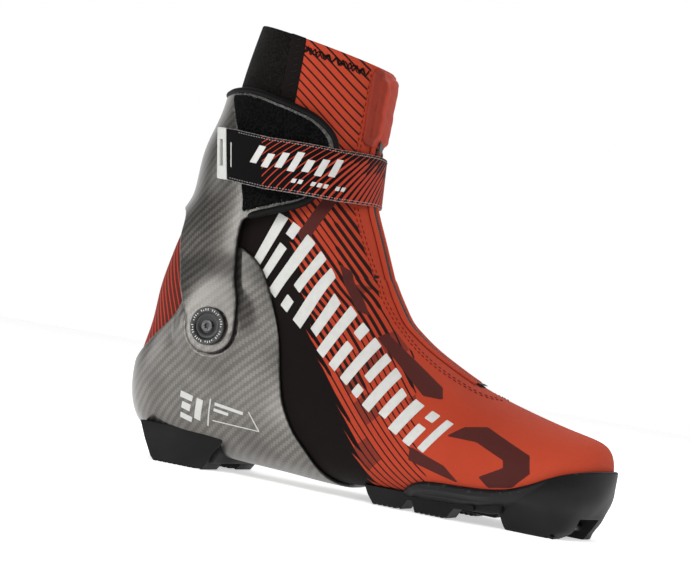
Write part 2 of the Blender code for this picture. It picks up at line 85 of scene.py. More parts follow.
# Fan of cross sections through the soft upper, from the toe's tip to the collar's rim.
# bottom x, bottom z, top x, top z, middle y, half width, height share of the widest line,
# fullness below it and fullness above it (2 is an ellipse, more is squarer).
SECTIONS = np.array((
    (304.0, 26.5, 305.2, 39.0, 8.0, 5.0, 0.50, 2.0, 2.0),
    (300.5, 21.0, 302.3, 49.5, 7.5, 18.0, 0.48, 2.2, 2.0),
    (293.5, 18.2, 295.0, 55.3, 7.0, 29.5, 0.45, 2.4, 2.0),
    (278.0, 15.6, 278.5, 59.0, 5.5, 40.0, 0.40, 2.6, 2.0),
    (256.0, 12.4, 254.5, 65.0, 3.0, 46.5, 0.36, 2.8, 2.0),
    (229.0, 9.5, 229.1, 73.0, 0.5, 48.8, 0.34, 3.0, 2.0),
    (203.0, 9.0, 210.5, 81.5, -1.5, 47.5, 0.33, 3.0, 2.0),
    (178.0, 8.0, 195.5, 89.6, -2.5, 44.0, 0.33, 3.0, 2.0),
    (152.0, 7.3, 184.5, 97.0, -2.5, 40.5, 0.34, 3.0, 2.0),
    (122.0, 8.6, 176.5, 103.6, -2.0, 38.0, 0.36, 2.9, 2.0),
    (92.0, 9.6, 170.6, 110.8, -1.0, 37.5, 0.38, 2.8, 2.1),
    (64.0, 10.8, 167.6, 114.8, -0.5, 38.0, 0.40, 2.7, 2.2),
    (41.0, 11.6, 165.6, 117.4, 0.0, 39.0, 0.41, 2.6, 2.3),
    (21.5, 18.5, 164.3, 119.3, 0.0, 40.0, 0.42, 2.4, 2.4),
    (11.6, 34.0, 163.3, 120.8, 0.0, 41.2, 0.43, 2.3, 2.5),
    (10.4, 56.0, 162.4, 122.2, 0.0, 42.4, 0.43, 2.2, 2.6),
    (14.2, 78.0, 161.4, 123.8, 0.0, 42.8, 0.43, 2.1, 2.6),
    (15.8, 99.0, 160.3, 125.5, 0.0, 42.4, 0.44, 2.1, 2.5),
    (19.5, 119.5, 158.8, 128.2, 0.0, 41.4, 0.45, 2.1, 2.3),
    (26.3, 141.0, 149.9, 148.0, 0.0, 40.4, 0.46, 2.1, 2.2),
    (35.2, 158.0, 141.7, 166.5, 0.0, 40.4, 0.47, 2.1, 2.1),
    (38.0, 183.0, 138.2, 183.0, 0.0, 41.2, 0.48, 2.1, 2.1),
    (45.2, 206.0, 137.2, 202.5, 0.0, 41.4, 0.50, 2.1, 2.1),
    (49.5, 233.0, 137.3, 226.0, 0.0, 40.0, 0.52, 2.1, 2.1),
    (55.8, 265.4, 137.8, 246.6, 0.0, 38.0, 0.52, 2.1, 2.1),
))
LAST = len(SECTIONS) - 1

CUP_OUTLINE = (
    (-20, 51), (-5, 51), (6, 52), (14, 56), (22.5, 63.5), (32, 72.5), (40.5, 80.5), (46.5, 88), (50, 95.5),
    (52, 104), (57, 118), (66, 127.5), (80.5, 130.5), (87, 128.5), (95, 123), (102, 114), (107.5, 103.5),
    (111.5, 92.5), (115, 79), (119.5, 59.5), (124, 46), (132.5, 33), (142.5, 23.3), (155, 11.5), (170, 4),
    (185, -10), (150, -30), (50, -30), (-20, -20), (-30, 10),
)
CUFF_OUTLINE = (
    (-10, 147.5), (15, 147), (39, 145.5), (41.5, 130), (47, 112.5), (54.5, 95.5), (59.2, 86), (60.5, 77),
    (65.5, 70.5), (74, 68), (82.5, 70.5), (88, 76.5), (89.4, 86), (88.5, 100.5), (85, 111.5), (82.2, 128.5),
    (82, 142.5), (84.5, 147.5), (98, 153), (114, 159.5), (120, 168), (124, 181.5), (124.9, 193), (122.5, 202),
    (114.5, 210), (104, 214.2), (91, 217.7), (77.5, 220.9), (63, 221.2), (54, 220), (40, 220.5), (15, 221.5),
    (-10, 222), (-25, 185),
)
LOOP_OUTLINE = (
    (61.5, 225), (64, 214), (67.5, 206), (71.5, 197), (75, 183), (78.5, 168), (81, 158), (82, 148),
    (100, 140), (135, 150), (135, 225),
)
RIM_WIDTH = 3.9
RAND_OUTLINE = (
    (172, 2), (180, 7), (190, 8.2), (196.5, 9.5), (203, 13), (209.5, 16.8), (217, 19.4), (227.5, 20.3),
    (240, 20.7), (252, 21.5), (262.2, 23.4), (272, 27.2), (281, 32), (288, 35.4), (296.2, 38.2), (306, 40.2),
    (330, 42), (340, 0), (330, -20), (250, -25), (180, -20), (165, -10),
)
# the sewn edge of the front facing, on the lateral side: section number, x, y and z
FACING = np.array((
    (23.8, 134.4, -16.0, 243.0), (23.3, 134.0, -16.2, 232.0), (22.77, 134.0, -16.4, 220.8),
    (22.28, 133.8, -16.7, 209.1), (21.7, 133.7, -17.0, 196.2), (21.0, 134.8, -16.6, 183.0),
    (19.96, 137.6, -16.6, 165.6), (19.33, 142.2, -16.7, 154.4), (18.76, 148.0, -16.3, 142.5),
    (18.25, 153.8, -14.9, 131.6), (14.28, 160.7, -14.4, 119.9), (10.04, 168.3, -13.4, 108.3),
    (8.62, 177.9, -13.9, 98.2), (7.62, 187.2, -16.4, 90.9), (6.74, 198.5, -18.3, 83.8),
    (6.02, 209.8, -18.8, 78.2), (5.42, 220.5, -17.2, 74.0), (4.92, 231.0, -14.5, 69.9),
    (4.67, 237.1, -9.5, 69.0), (4.55, 239.5, -3.5, 69.2),
))
STRAP_TOP = 195.5
STRAP_BOTTOM = 166.0
STRAP_MIDDLE = 180.7
STRAP_CENTRE = 87.0


# Curves and the skin of the soft upper

def natural_spline(table):
    """A smooth curve through the table's rows; its parameter is the row number."""
    n = len(table)
    system = np.eye(n)
    right = np.zeros_like(table)
    for i in range(1, n - 1):
        system[i, i - 1:i + 2] = (1, 4, 1)
        right[i] = 6 * (table[i - 1] - 2 * table[i] + table[i + 1])
    bend = np.linalg.solve(system, right)

    def at(t):
        t = np.clip(np.asarray(t, float), 0, n - 1)
        i = np.minimum(t.astype(int), n - 2)
        f = (t - i)[..., None]
        g = 1 - f
        return (g * table[i] + f * table[i + 1] + (g ** 3 - g) * bend[i] / 6
                + (f ** 3 - f) * bend[i + 1] / 6)

    return at


FAN = natural_spline(SECTIONS)


def smooth_loop(points, steps=8):
    """A closed outline rounded through its points."""
    p = np.asarray(points, float)
    f = (np.arange(steps) / steps)[:, None, None]
    a, b, c, d = (np.roll(p, shift, 0)[None] for shift in (1, 0, -1, -2))
    made = 0.5 * (2 * b + (c - a) * f + (2 * a - 5 * b + 4 * c - d) * f ** 2
                  + (3 * b - a - 3 * c + d) * f ** 3)
    return made.transpose(1, 0, 2).reshape(-1, p.shape[1])


def travelled(path):
    """Distance along a path at each of its points."""
    return np.concatenate(([0], np.cumsum(np.linalg.norm(np.diff(path, axis=0), axis=1))))


def read_at(where, along, rows):
    """Rows of a table at places between them."""
    return np.stack([np.interp(where, along, rows[:, i]) for i in range(rows.shape[1])], -1)


def smooth_path(points, step=1.0):
    """An open path rounded through its points and divided evenly."""
    p = np.asarray(points, float)
    curve = natural_spline(p)
    fine = curve(np.linspace(0, len(p) - 1, 40 * len(p)))
    along = travelled(fine)
    count = max(2, int(along[-1] / step) + 1)
    where = np.linspace(0, along[-1], count)
    return read_at(where, along, fine)


def inside(outline, x, z):
    """Distance in millimetres from points to an outline, positive inside it."""
    a = np.asarray(outline, float)
    b = np.roll(a, -1, 0)
    shape = np.shape(x)
    q = np.stack([np.ravel(x), np.ravel(z)], 1)
    made = np.empty(len(q))
    edge = b - a
    size = np.maximum((edge ** 2).sum(1), 1e-12)
    for first in range(0, len(q), 6000):
        part = q[first:first + 6000, None]
        share = np.clip(((part - a) * edge).sum(2) / size, 0, 1)
        away = part - a - share[..., None] * edge
        near = np.sqrt((away ** 2).sum(2).min(1))
        px, pz = part[..., 0], part[..., 1]
        spans = (a[:, 1] > pz) != (b[:, 1] > pz)
        with np.errstate(divide="ignore", invalid="ignore"):
            cross = a[:, 0] + (pz - a[:, 1]) / (b[:, 1] - a[:, 1]) * edge[:, 0]
        within = (spans & (px < cross)).sum(1) % 2 == 1
        made[first:first + 6000] = np.where(within, near, -near)
    return made.reshape(shape)


def round_corner(dx, dz, corner):
    """Depth inside a rectangle with round corners, from the depths along its two directions."""
    inx, inz = corner - dx, corner - dz
    return np.where((inx > 0) & (inz > 0), corner - np.hypot(inx, inz), np.minimum(dx, dz))


def smoothstep(low, high, value):
    """A smooth step from 0 at low to 1 at high; high may be the smaller."""
    f = np.clip((value - low) / (high - low), 0, 1)
    return f * f * (3 - 2 * f)


def skin(t, turn):
    """Points of the upper's skin; turn 0 is the front ridge and a quarter turn the lateral side."""
    row = FAN(t)
    angle = np.asarray(turn, float) * TAU
    up, out = np.cos(angle), np.sin(angle)
    full = np.where(up > 0, row[..., 8], row[..., 7])
    reach = (np.abs(up) ** full + np.abs(out) ** full) ** (-1 / full)
    rise, side = up * reach, out * reach
    widest = row[..., 6]
    share = widest + rise * np.where(rise > 0, 1 - widest, widest)
    x = row[..., 0] + (row[..., 2] - row[..., 0]) * share
    z = row[..., 1] + (row[..., 3] - row[..., 1]) * share
    return np.stack([x, row[..., 4] - row[..., 5] * side, z], -1)


def unit(v):
    """Vectors made one long."""
    return v / np.maximum(np.linalg.norm(v, axis=-1, keepdims=True), 1e-12)


def skin_frame(t, turn):
    """Points of the skin and its outward normals."""
    t, turn = np.broadcast_arrays(np.asarray(t, float), np.asarray(turn, float))
    step = 0.004
    along = skin(np.minimum(t + step, LAST), turn) - skin(np.maximum(t - step, 0), turn)
    across = skin(t, turn + step) - skin(t, turn - step)
    normal = unit(np.cross(along, across))
    point = skin(t, turn)
    centre = (skin(t, 0) + skin(t, 0.5)) / 2
    facing = np.sign(((point - centre) * normal).sum(-1, keepdims=True))
    return point, normal * np.where(facing == 0, 1, facing)


def rows_between(first, last, size):
    """Section numbers spaced by about size millimetres on the skin."""
    made = [first]
    cuts = [first] + [i for i in range(int(first) + 1, int(math.ceil(last)))] + [last]
    for a, b in zip(cuts, cuts[1:]):
        longest = max(np.linalg.norm(skin(a, k) - skin(b, k)) for k in (0, 0.25, 0.5, 0.75))
        steps = max(2, int(math.ceil(longest / size)))
        made += [a + (b - a) * i / steps for i in range(1, steps + 1)]
    return np.array(made)


# Meshes

def cloth_uv(points):
    """Coordinates along the cloth, in millimetres, for weaves on the upper."""
    across = np.abs(points[:, 1])
    return np.stack([points[:, 0] - across, points[:, 2] + 0.6 * across, np.zeros(len(points))], 1)


def wrap_uv(points):
    """Coordinates that run round the heel and along the sides, for the composite's twill."""
    x, y, z = points.T
    bend, radius = 58.0, 44.0
    round_back = radius * np.arctan2(y, bend - x + 1e-9)
    side = np.sign(y) * (radius * math.pi / 2 + x - bend)
    return np.stack([np.where(x > bend, side, round_back), z, np.zeros(len(points))], 1)


def make_object(name, points, faces, uv=None, values=None, sharp=40.0):
    """An object from points in shoe millimetres, with what the materials read stored on its points."""
    points = np.asarray(points, float)
    mesh = bpy.data.meshes.new(name)
    mesh.from_pydata(((points + SHIFT) * MM).tolist(), [], faces)
    mesh.validate()
    mesh.update()
    for label, data in (("rest_mm", points), ("cloth_mm", cloth_uv(points) if uv is None else uv)):
        layer = mesh.attributes.new(label, "FLOAT_VECTOR", "POINT")
        layer.data.foreach_set("vector", np.asarray(data, np.float32).ravel())
    for label, data in {"edge_mm": np.full(len(points), 5.0), **(values or {})}.items():
        layer = mesh.attributes.new(label, "FLOAT", "POINT")
        layer.data.foreach_set("value", np.asarray(data, np.float32).ravel())
    made = bpy.data.objects.new(name, mesh)
    bpy.context.scene.collection.objects.link(made)
    mesh.shade_smooth()
    mesh.set_sharp_from_angle(angle=math.radians(sharp))
    return made


def clipped_grid(rows, columns, field, wrap=False):
    """Quads of a grid where field is positive, cut cleanly where it crosses zero."""
    a, b = np.meshgrid(rows, columns, indexing="ij")
    value = field(a, b)
    value = np.where(np.abs(value) < 0.03, 0.03, value)
    turns = len(columns) - 1
    index, params, faces = {}, [], []

    def corner(i, j):
        key = (i, j % turns if wrap else j)
        if key not in index:
            index[key] = len(params)
            params.append((a[i, j], b[i, j]))
        return index[key]

    def cut(p, q):
        key = tuple(sorted(((p[0], p[1] % turns if wrap else p[1]), (q[0], q[1] % turns if wrap else q[1]))))
        if key not in index:
            share = value[p] / (value[p] - value[q])
            index[key] = len(params)
            params.append((a[p] + (a[q] - a[p]) * share, b[p] + (b[q] - b[p]) * share))
        return index[key]

    keep = value > 0
    count = keep[:-1, :-1].astype(int) + keep[1:, :-1] + keep[1:, 1:] + keep[:-1, 1:]
    for i, j in np.argwhere(count > 0):
        cell = ((i, j), (i + 1, j), (i + 1, j + 1), (i, j + 1))
        if count[i, j] == 4:
            faces.append([corner(*c) for c in cell])
            continue
        ring = []
        for here, following in zip(cell, cell[1:] + cell[:1]):
            if keep[here]:
                ring.append(corner(*here))
            if keep[here] != keep[following]:
                ring.append(cut(here, following))
        if len(ring) > 2:
            faces.append(ring)
    return np.array(params), faces


def border_loops(faces):
    """The open edges of a set of faces, as closed loops of point numbers."""
    following = {}
    directed = {(f[i], f[(i + 1) % len(f)]) for f in faces for i in range(len(f))}
    for p, q in directed:
        if (q, p) not in directed:
            following[p] = q
    loops = []
    while following:
        start = min(following)
        loop = [start]
        here = following.pop(start)
        while here != start and here in following:
            loop.append(here)
            here = following.pop(here)
        loops.append(loop)
    return loops


def patch(name, surface, rows, columns, field, low, high, edge=0.8, wrap=False, warp=None, uv=None,
          extra=None, puff=None, steps=3):
    """A closed piece lying on a surface, between the offsets low and high, cut where field is zero,
    with a rounded rim."""
    params, faces = clipped_grid(rows, columns, lambda a, b: field(a, b) - edge, wrap)
    point, normal = surface(params[:, 0], params[:, 1])
    depth = field(params[:, 0], params[:, 1])
    first = faces[len(faces) // 2]
    corner = point[first]
    if np.dot(np.cross(corner[1] - corner[0], corner[2] - corner[0]), normal[first[0]]) < 0:
        faces = [f[::-1] for f in faces]
    top = high + (puff(depth, point) if puff is not None else 0.0)
    heights = np.broadcast_to(np.asarray(top, float), (len(point),)).copy()
    levels = [heights]
    spots = [point + normal * heights[:, None]]
    count = len(point)
    bottom = [f[::-1] for f in faces]
    offset_faces = [[v + count for v in f] for f in bottom]
    levels.append(np.full(count, float(low)))
    spots.append(point + normal * low)
    depths = [depth, depth]
    made_faces = list(faces) + offset_faces
    total = 2 * count
    for loop in border_loops(faces):
        ring = point[loop]
        ahead = unit(np.roll(ring, -1, 0) - np.roll(ring, 1, 0))
        for _ in range(3):
            ahead = unit(np.roll(ahead, -1, 0) + 2 * ahead + np.roll(ahead, 1, 0))
        outward = unit(np.cross(ahead, normal[loop]))
        rim_high = heights[loop]
        radius = min(edge, abs(high - low) * 0.95)
        previous = list(loop)
        size = len(loop)
        profile = [(math.sin(s), 1 - math.cos(s)) for s in np.linspace(0, math.pi / 2, steps + 1)[1:]]
        stations = [(edge * p, rim_high - radius * q) for p, q in profile]
        stations.append((edge, np.full(size, float(low) + 0.0)))
        for out, level in stations:
            spots.append(ring + outward * out + normal[loop] * level[:, None])
            levels.append(level)
            depths.append(np.full(size, edge - out))
            now = list(range(total, total + size))
            total += size
            for i in range(size):
                j = (i + 1) % size
                made_faces.append([previous[j], previous[i], now[i], now[j]])
            previous = now
        for i in range(size):
            j = (i + 1) % size
            made_faces.append([previous[j], previous[i], loop[i] + count, loop[j] + count])
    spots = np.concatenate(spots)
    levels = np.concatenate(levels)
    if warp is not None:
        spots = warp(spots, levels)
    values = {"edge_mm": np.concatenate(depths)}
    if extra is not None:
        values.update(extra(spots))
    return make_object(name, spots, made_faces, None if uv is None else uv(spots), values)


def tube_faces(n, m):
    """Faces of a closed skin through n rings of m points, capped at both ends."""
    faces = []
    for i in range(n - 1):
        for j in range(m):
            k = (j + 1) % m
            faces.append([i * m + j, i * m + k, (i + 1) * m + k, (i + 1) * m + j])
    return faces + [list(range(m))[::-1], [(n - 1) * m + j for j in range(m)]]


def sweep(name, rings, uv=None, values=None, sharp=50.0):
    """A skin through rings of points, each ring closed."""
    rings = np.asarray(rings, float)
    made = make_object(name, rings.reshape(-1, 3), tube_faces(*rings.shape[:2]), uv, values, sharp)
    recalculate(made)
    return made


def recalculate(obj):
    """Turns all faces outward."""
    shape = bmesh.new()
    shape.from_mesh(obj.data)
    bmesh.ops.recalc_face_normals(shape, faces=shape.faces)
    shape.to_mesh(obj.data)
    shape.free()


def tube(name, path, normals, width, height, points, taper):
    """A rounded cord or band along a path: width across it and height along the normals."""
    ahead = unit(np.gradient(path, axis=0))
    side = unit(np.cross(ahead, normals))
    up = unit(np.cross(side, ahead))
    length = travelled(path)
    near = np.minimum(length, length[-1] - length)
    size = np.sqrt(np.maximum(1 - np.maximum(1 - near / taper, 0) ** 2, 0.02))[:, None, None]
    angle = (TAU * np.arange(points) / points)[:, None]
    rings = path[:, None] + size * (side[:, None] * np.cos(angle) * width / 2
                                    + up[:, None] * np.sin(angle) * height / 2)
    uv = np.array([(length[i], width * k / points, 0.0) for i in range(len(path)) for k in range(points)])
    return sweep(name, rings, uv=uv, sharp=60)


def capsule(start, end, up, radius):
    """Points and faces of one stitch: a short rod whose ends are rounded and dip inwards."""
    sides = 6
    start, end, up = (np.asarray(v, float) for v in (start, end, up))
    ahead = unit(end - start)
    side = unit(np.cross(ahead, up))
    rise = np.cross(side, ahead)
    spots = []
    stations = ((0.0, 0.25, -0.9), (0.14, 0.9, -0.1), (0.5, 1.0, 0.35), (0.86, 0.9, -0.1), (1.0, 0.25, -0.9))
    for share, size, lift in stations:
        centre = start + (end - start) * share + rise * (lift * radius)
        for k in range(sides):
            angle = TAU * k / sides
            spots.append(centre + (side * math.cos(angle) + rise * math.sin(angle)) * radius * size)
    return spots, tube_faces(len(stations), sides)


def stitches(name, segments, radius):
    """Separate threads gathered in one object; each segment is start, end and outward normal."""
    points, faces = [], []
    for start, end, up in segments:
        spots, sides = capsule(start, end, up, radius)
        base = len(points)
        points += spots
        faces += [[v + base for v in f] for f in sides]
    made = make_object(name, np.array(points), faces, sharp=80)
    recalculate(made)
    return made


def run_of_stitches(path, normals, length, gap, lift=0.15):
    """Segments of a running stitch along a path that is divided finely."""
    along = travelled(path)
    made = []
    start = gap
    while start + length < along[-1]:
        up = unit(read_at(start + length / 2, along, normals))
        ends = [read_at(place, along, path) + up * lift for place in (start, start + length)]
        made.append((*ends, up))
        start += length + gap
    return made


def skin_tree():
    """The skin as a tree that rays and points can be sent to."""
    a, b = np.meshgrid(rows_between(0, LAST, 3.0), np.linspace(0, 1, 161), indexing="ij")
    n, m = a.shape
    corners = ((i * m + j, i * m + j + 1, (i + 1) * m + j + 1, (i + 1) * m + j)
               for i in range(n - 1) for j in range(m - 1))
    return BVHTree.FromPolygons([Vector(p) for p in skin(a, b).reshape(-1, 3)], list(corners))


SKIN_TREE = skin_tree()


def on_skin(path, side, offset):
    """Lays a side-view path of x and z on the skin's lateral (-1) or medial (1) side."""
    spots, normals = [], []
    for x, z in path:
        hit, normal, _, _ = SKIN_TREE.ray_cast(Vector((x, side * 90.0, z)), Vector((0, -side, 0)))
        if hit is None:
            continue
        if normal.y * side < 0:
            normal = -normal
        spots.append(np.array(hit) + np.array(normal) * offset)
        normals.append(np.array(normal))
    spots, normals = np.array(spots), np.array(normals)
    for _ in range(2):
        normals[1:-1] = unit(normals[:-2] + 2 * normals[1:-1] + normals[2:])
    return spots, normals


def near_skin(points, offset):
    """Brings points to the nearest place on the skin."""
    spots, normals = [], []
    for point in points:
        hit, normal, _, _ = SKIN_TREE.find_nearest(Vector(point))
        outward = np.array(normal)
        if np.dot(outward, np.array(hit) - np.array((110.0, 0.0, hit.z * 0.9))) < 0:
            outward = -outward
        spots.append(np.array(hit) + outward * offset)
        normals.append(outward)
    return np.array(spots), unit(np.array(normals))


# Materials

def linear(hex_colour):
    """A colour written as a web colour, as linear values."""
    parts = [int(hex_colour[i:i + 2], 16) / 255 for i in (0, 2, 4)]
    return tuple(c / 12.92 if c < 0.04045 else ((c + 0.055) / 1.055) ** 2.4 for c in parts) + (1.0,)


class Shader:
    """Short calls for building one node material."""

    def __init__(self, name):
        self.material = bpy.data.materials.new(name)
        self.material.use_nodes = True
        self.tree = self.material.node_tree
        self.surface = self.tree.nodes["Principled BSDF"]

    def put(self, socket, value):
        """Links a socket to another, or gives it a value; text is a web colour."""
        if isinstance(value, bpy.types.NodeSocket):
            self.tree.links.new(value, socket)
        else:
            socket.default_value = linear(value) if isinstance(value, str) else value

    def attribute(self, name, part="Vector"):
        node = self.tree.nodes.new("ShaderNodeAttribute")
        node.attribute_name = name
        return node.outputs[part]

    def math(self, operation, first, second=0.0, third=None, clamp=False):
        node = self.tree.nodes.new("ShaderNodeMath")
        node.operation = operation
        node.use_clamp = clamp
        self.put(node.inputs[0], first)
        self.put(node.inputs[1], second)
        if third is not None:
            self.put(node.inputs[2], third)
        return node.outputs[0]

    def times(self, *values):
        made = values[0]
        for value in values[1:]:
            made = self.math("MULTIPLY", made, value)
        return made

    def plus(self, *values):
        made = values[0]
        for value in values[1:]:
            made = self.math("ADD", made, value)
        return made

    def minus(self, first, second):
        return self.math("SUBTRACT", first, second)

    def floor(self, value):
        return self.math("FLOOR", value)

    def off_middle(self, value):
        """How far a value is from the middle of its unit step, 0 to 0.5."""
        return self.math("ABSOLUTE", self.plus(self.math("FRACT", value), -0.5))

    def ramp(self, value, low, high, bottom=0.0, top=1.0):
        node = self.tree.nodes.new("ShaderNodeMapRange")
        node.interpolation_type = "SMOOTHSTEP"
        self.put(node.inputs[0], value)
        for i, number in enumerate((low, high, bottom, top)):
            self.put(node.inputs[i + 1], number)
        return node.outputs[0]

    def mix(self, share, first, second):
        node = self.tree.nodes.new("ShaderNodeMix")
        node.data_type = "RGBA"
        self.put(node.inputs[0], share)
        self.put(node.inputs[6], first)
        self.put(node.inputs[7], second)
        return node.outputs[2]

    def split(self, vector):
        node = self.tree.nodes.new("ShaderNodeSeparateXYZ")
        self.put(node.inputs[0], vector)
        return node.outputs

    def join(self, x, y, z=0.0):
        node = self.tree.nodes.new("ShaderNodeCombineXYZ")
        for i, value in enumerate((x, y, z)):
            self.put(node.inputs[i], value)
        return node.outputs[0]

    def noise(self, scale, detail=2.0, roughness=0.5, at=None):
        """Noise over the place at rest, or over another vector."""
        node = self.tree.nodes.new("ShaderNodeTexNoise")
        self.put(node.inputs["Vector"], self.attribute("rest_mm") if at is None else at)
        for name, value in (("Scale", scale), ("Detail", detail), ("Roughness", roughness)):
            node.inputs[name].default_value = value
        return node.outputs["Fac"]

    def cells(self, scale):
        """Distance to the nearest of scattered points over the place at rest."""
        node = self.tree.nodes.new("ShaderNodeTexVoronoi")
        self.put(node.inputs["Vector"], self.attribute("rest_mm"))
        node.inputs["Scale"].default_value = scale
        return node.outputs["Distance"]

    def random(self, value, seed):
        node = self.tree.nodes.new("ShaderNodeTexWhiteNoise")
        node.noise_dimensions = "2D"
        self.put(node.inputs["Vector"], self.join(value, seed))
        return node.outputs["Value"]

    def wave(self, value, pitch, shift=0.0):
        """A sine of the value, from 0 to 1."""
        angle = self.plus(self.times(value, TAU / pitch), shift)
        return self.plus(self.times(self.math("SINE", angle), 0.5), 0.5)

    def bump(self, height, strength, distance=0.0002):
        node = self.tree.nodes.new("ShaderNodeBump")
        node.inputs["Strength"].default_value = strength
        node.inputs["Distance"].default_value = distance
        self.put(node.inputs["Height"], height)
        return node.outputs[0]

    def finish(self, colour, roughness, normal=None, **sockets):
        self.put(self.surface.inputs["Base Color"], colour)
        self.put(self.surface.inputs["Roughness"], roughness)
        if normal is not None:
            self.put(self.surface.inputs["Normal"], normal)
        for name, value in sockets.items():
            self.put(self.surface.inputs[name.replace("_", " ")], value)
        return self.material

    def grained(self, colour, grain, low, high, height, strength, distance=0.0002, **sockets):
        """Finishes a surface whose roughness follows its grain, with a fine relief."""
        return self.finish(colour, self.ramp(grain, 0.3, 0.7, low, high),
                           self.bump(height, strength, distance), **sockets)


BROWN_BLACK = "29221f"
MAROON = "4c2421"


def weave_height(s, pitch):
    """Plain weave of fine yarns, from the cloth coordinates."""
    u, v, _ = s.split(s.attribute("cloth_mm"))
    over = s.times(s.wave(u, pitch), s.wave(v, pitch))
    under = s.times(s.wave(u, pitch, math.pi), s.wave(v, pitch, math.pi))
    return s.plus(over, under)


def woven(name, colour, pitch, roughness, variation=0.12, sheen=0.25, strength=0.35):
    """Plain dyed cloth with a fine weave, uneven dye, a little fuzz and painted shade darkening the side a
    piece marks.
    """
    s = Shader(name)
    colour = linear(colour)
    weave = weave_height(s, pitch)
    blotch = s.noise(0.05, 4)
    grain = s.noise(1.3, 3, 0.6)
    shade = s.plus(s.times(s.plus(blotch, -0.5), variation * 2), s.times(s.plus(grain, -0.5), variation),
                   s.times(s.plus(weave, -0.5), 0.12))
    dark = tuple(c * 0.45 for c in colour[:3]) + (1.0,)
    light = tuple(min(c * 1.55, 1) for c in colour[:3]) + (1.0,)
    tone = s.mix(s.math("ADD", shade, 0.5, clamp=True), dark, light)
    # painted shade: points that a piece marks are darkened towards the dark tone, standing in for the shadow
    # beside a fold
    tone = s.mix(s.times(s.attribute("flank", "Fac"), 0.8), tone, dark)
    height = s.plus(weave, s.times(grain, 0.6))
    return s.grained(tone, grain, roughness - 0.06, min(roughness + 0.06, 1), height, strength,
                     Sheen_Weight=sheen * 0.15, Sheen_Roughness=0.5, Specular_IOR_Level=0.08)


def printed_softshell():
    """Red stretch cloth of the upper, printed with dark diagonal stripes, blocks and a black field low on its
    rear half.
    """
    s = Shader("softshell_print")
    x, _, z = s.split(s.attribute("rest_mm"))
    flow = s.attribute("flow_mm", "Fac")
    along = s.attribute("along_mm", "Fac")
    weave = weave_height(s, 0.75)
    grain = s.noise(1.1, 3, 0.6)
    blotch = s.noise(0.03, 3)

    red = s.mix(blotch, "a23824", "b8442c")
    red = s.mix(s.ramp(x, 225, 300), red, "bd4830")

    pitch = 3.25
    place = s.times(flow, 1 / pitch)
    number = s.floor(place)
    middle = s.off_middle(place)
    turn_one = s.plus(-60.0, s.times(s.random(number, 3.0), 70.0))
    turn_two = s.plus(20.0, s.times(s.random(number, 11.0), 75.0))
    wide_one = s.ramp(s.minus(along, turn_one), -1.6, 1.6)
    wide_two = s.ramp(s.minus(along, turn_two), -1.6, 1.6, 1.0, 0.0)
    width = s.plus(0.12, s.times(wide_one, wide_two, 0.14))
    line = s.ramp(s.minus(width, middle), -0.02, 0.02)
    limit = s.plus(49.0, s.times(flow, -2.0), s.times(s.plus(s.random(number, 7.0), -0.5), 12.0),
                   s.times(s.math("LESS_THAN", flow, -45.0), 300.0))
    zone = s.times(s.ramp(s.attribute("stripe_zone", "Fac"), -0.25, 0.25),
                   s.ramp(s.minus(limit, along), -1.0, 1.0))
    stripes = s.times(line, zone)

    block_place = s.times(flow, 1 / 13.8)
    block_number = s.floor(block_place)
    along_place = s.plus(s.times(along, 1 / 21.0), s.random(block_number, 5.0))
    chance = s.random(s.plus(s.times(block_number, 7.0), s.floor(along_place)), 2.0)
    chosen = s.math("GREATER_THAN", chance, 0.62)
    block = s.times(chosen, s.ramp(s.off_middle(along_place), 0.37, 0.36),
                    s.ramp(s.off_middle(block_place), 0.40, 0.39), zone,
                    s.ramp(s.attribute("block_zone", "Fac"), -0.25, 0.25))

    tone = s.mix(s.times(block, 0.62), red, MAROON)
    tone = s.mix(stripes, tone, s.mix(grain, "1a1312", "261815"))
    tone = s.mix(s.ramp(s.attribute("shadow_ink", "Fac"), -0.2, 0.2), tone, MAROON)

    heel = s.ramp(x, 52, 50)
    rear_place = s.times(s.plus(s.times(x, 0.80), s.times(z, 0.46)), 1 / 3.1)
    rear_width = s.ramp(x, 12, 44, 0.34, 0.13)
    rear_line = s.ramp(s.minus(rear_width, s.off_middle(rear_place)), -0.03, 0.03)
    tone = s.mix(heel, tone, s.mix(rear_line, "54241f", "a93a29"))

    depth = s.attribute("black_ink", "Fac")
    jagged = s.plus(depth, s.times(s.plus(middle, -0.25), -9.0),
                    s.times(s.plus(s.random(number, 9.0), -0.5), 5.0))
    jagged = s.mix(s.ramp(depth, -7.5, -7.0), s.join(-1.0, 0.0), s.join(jagged, 0.0))
    black = s.ramp(s.split(jagged)[0], -0.2, 0.2)
    tone = s.mix(black, tone, s.mix(s.noise(0.06, 3), "0d0a09", "130e0d"))
    tone = s.mix(s.times(s.plus(weave, s.times(grain, 0.8)), 0.13), tone, BROWN_BLACK)
    height = s.plus(weave, s.times(grain, 0.5))
    return s.grained(tone, grain, 0.66, 0.8, height, 0.4, Specular_IOR_Level=0.08)


def printed_ink():
    """Pale screen print over cloth or composite, with a fine weave showing through and worn specks."""
    s = Shader("pale_print")
    weave = weave_height(s, 0.75)
    grain = s.noise(1.2, 4, 0.65)
    tone = s.mix(s.noise(0.3, 2), "b6b6b2", "c9c9c5")
    tone = s.mix(s.times(s.ramp(grain, 0.66, 0.74), 0.35), tone, "8f8c88")
    tone = s.mix(s.times(weave, 0.06), tone, "9a9895")
    return s.grained(tone, grain, 0.42, 0.58, s.plus(weave, grain), 0.15, Specular_IOR_Level=0.35)


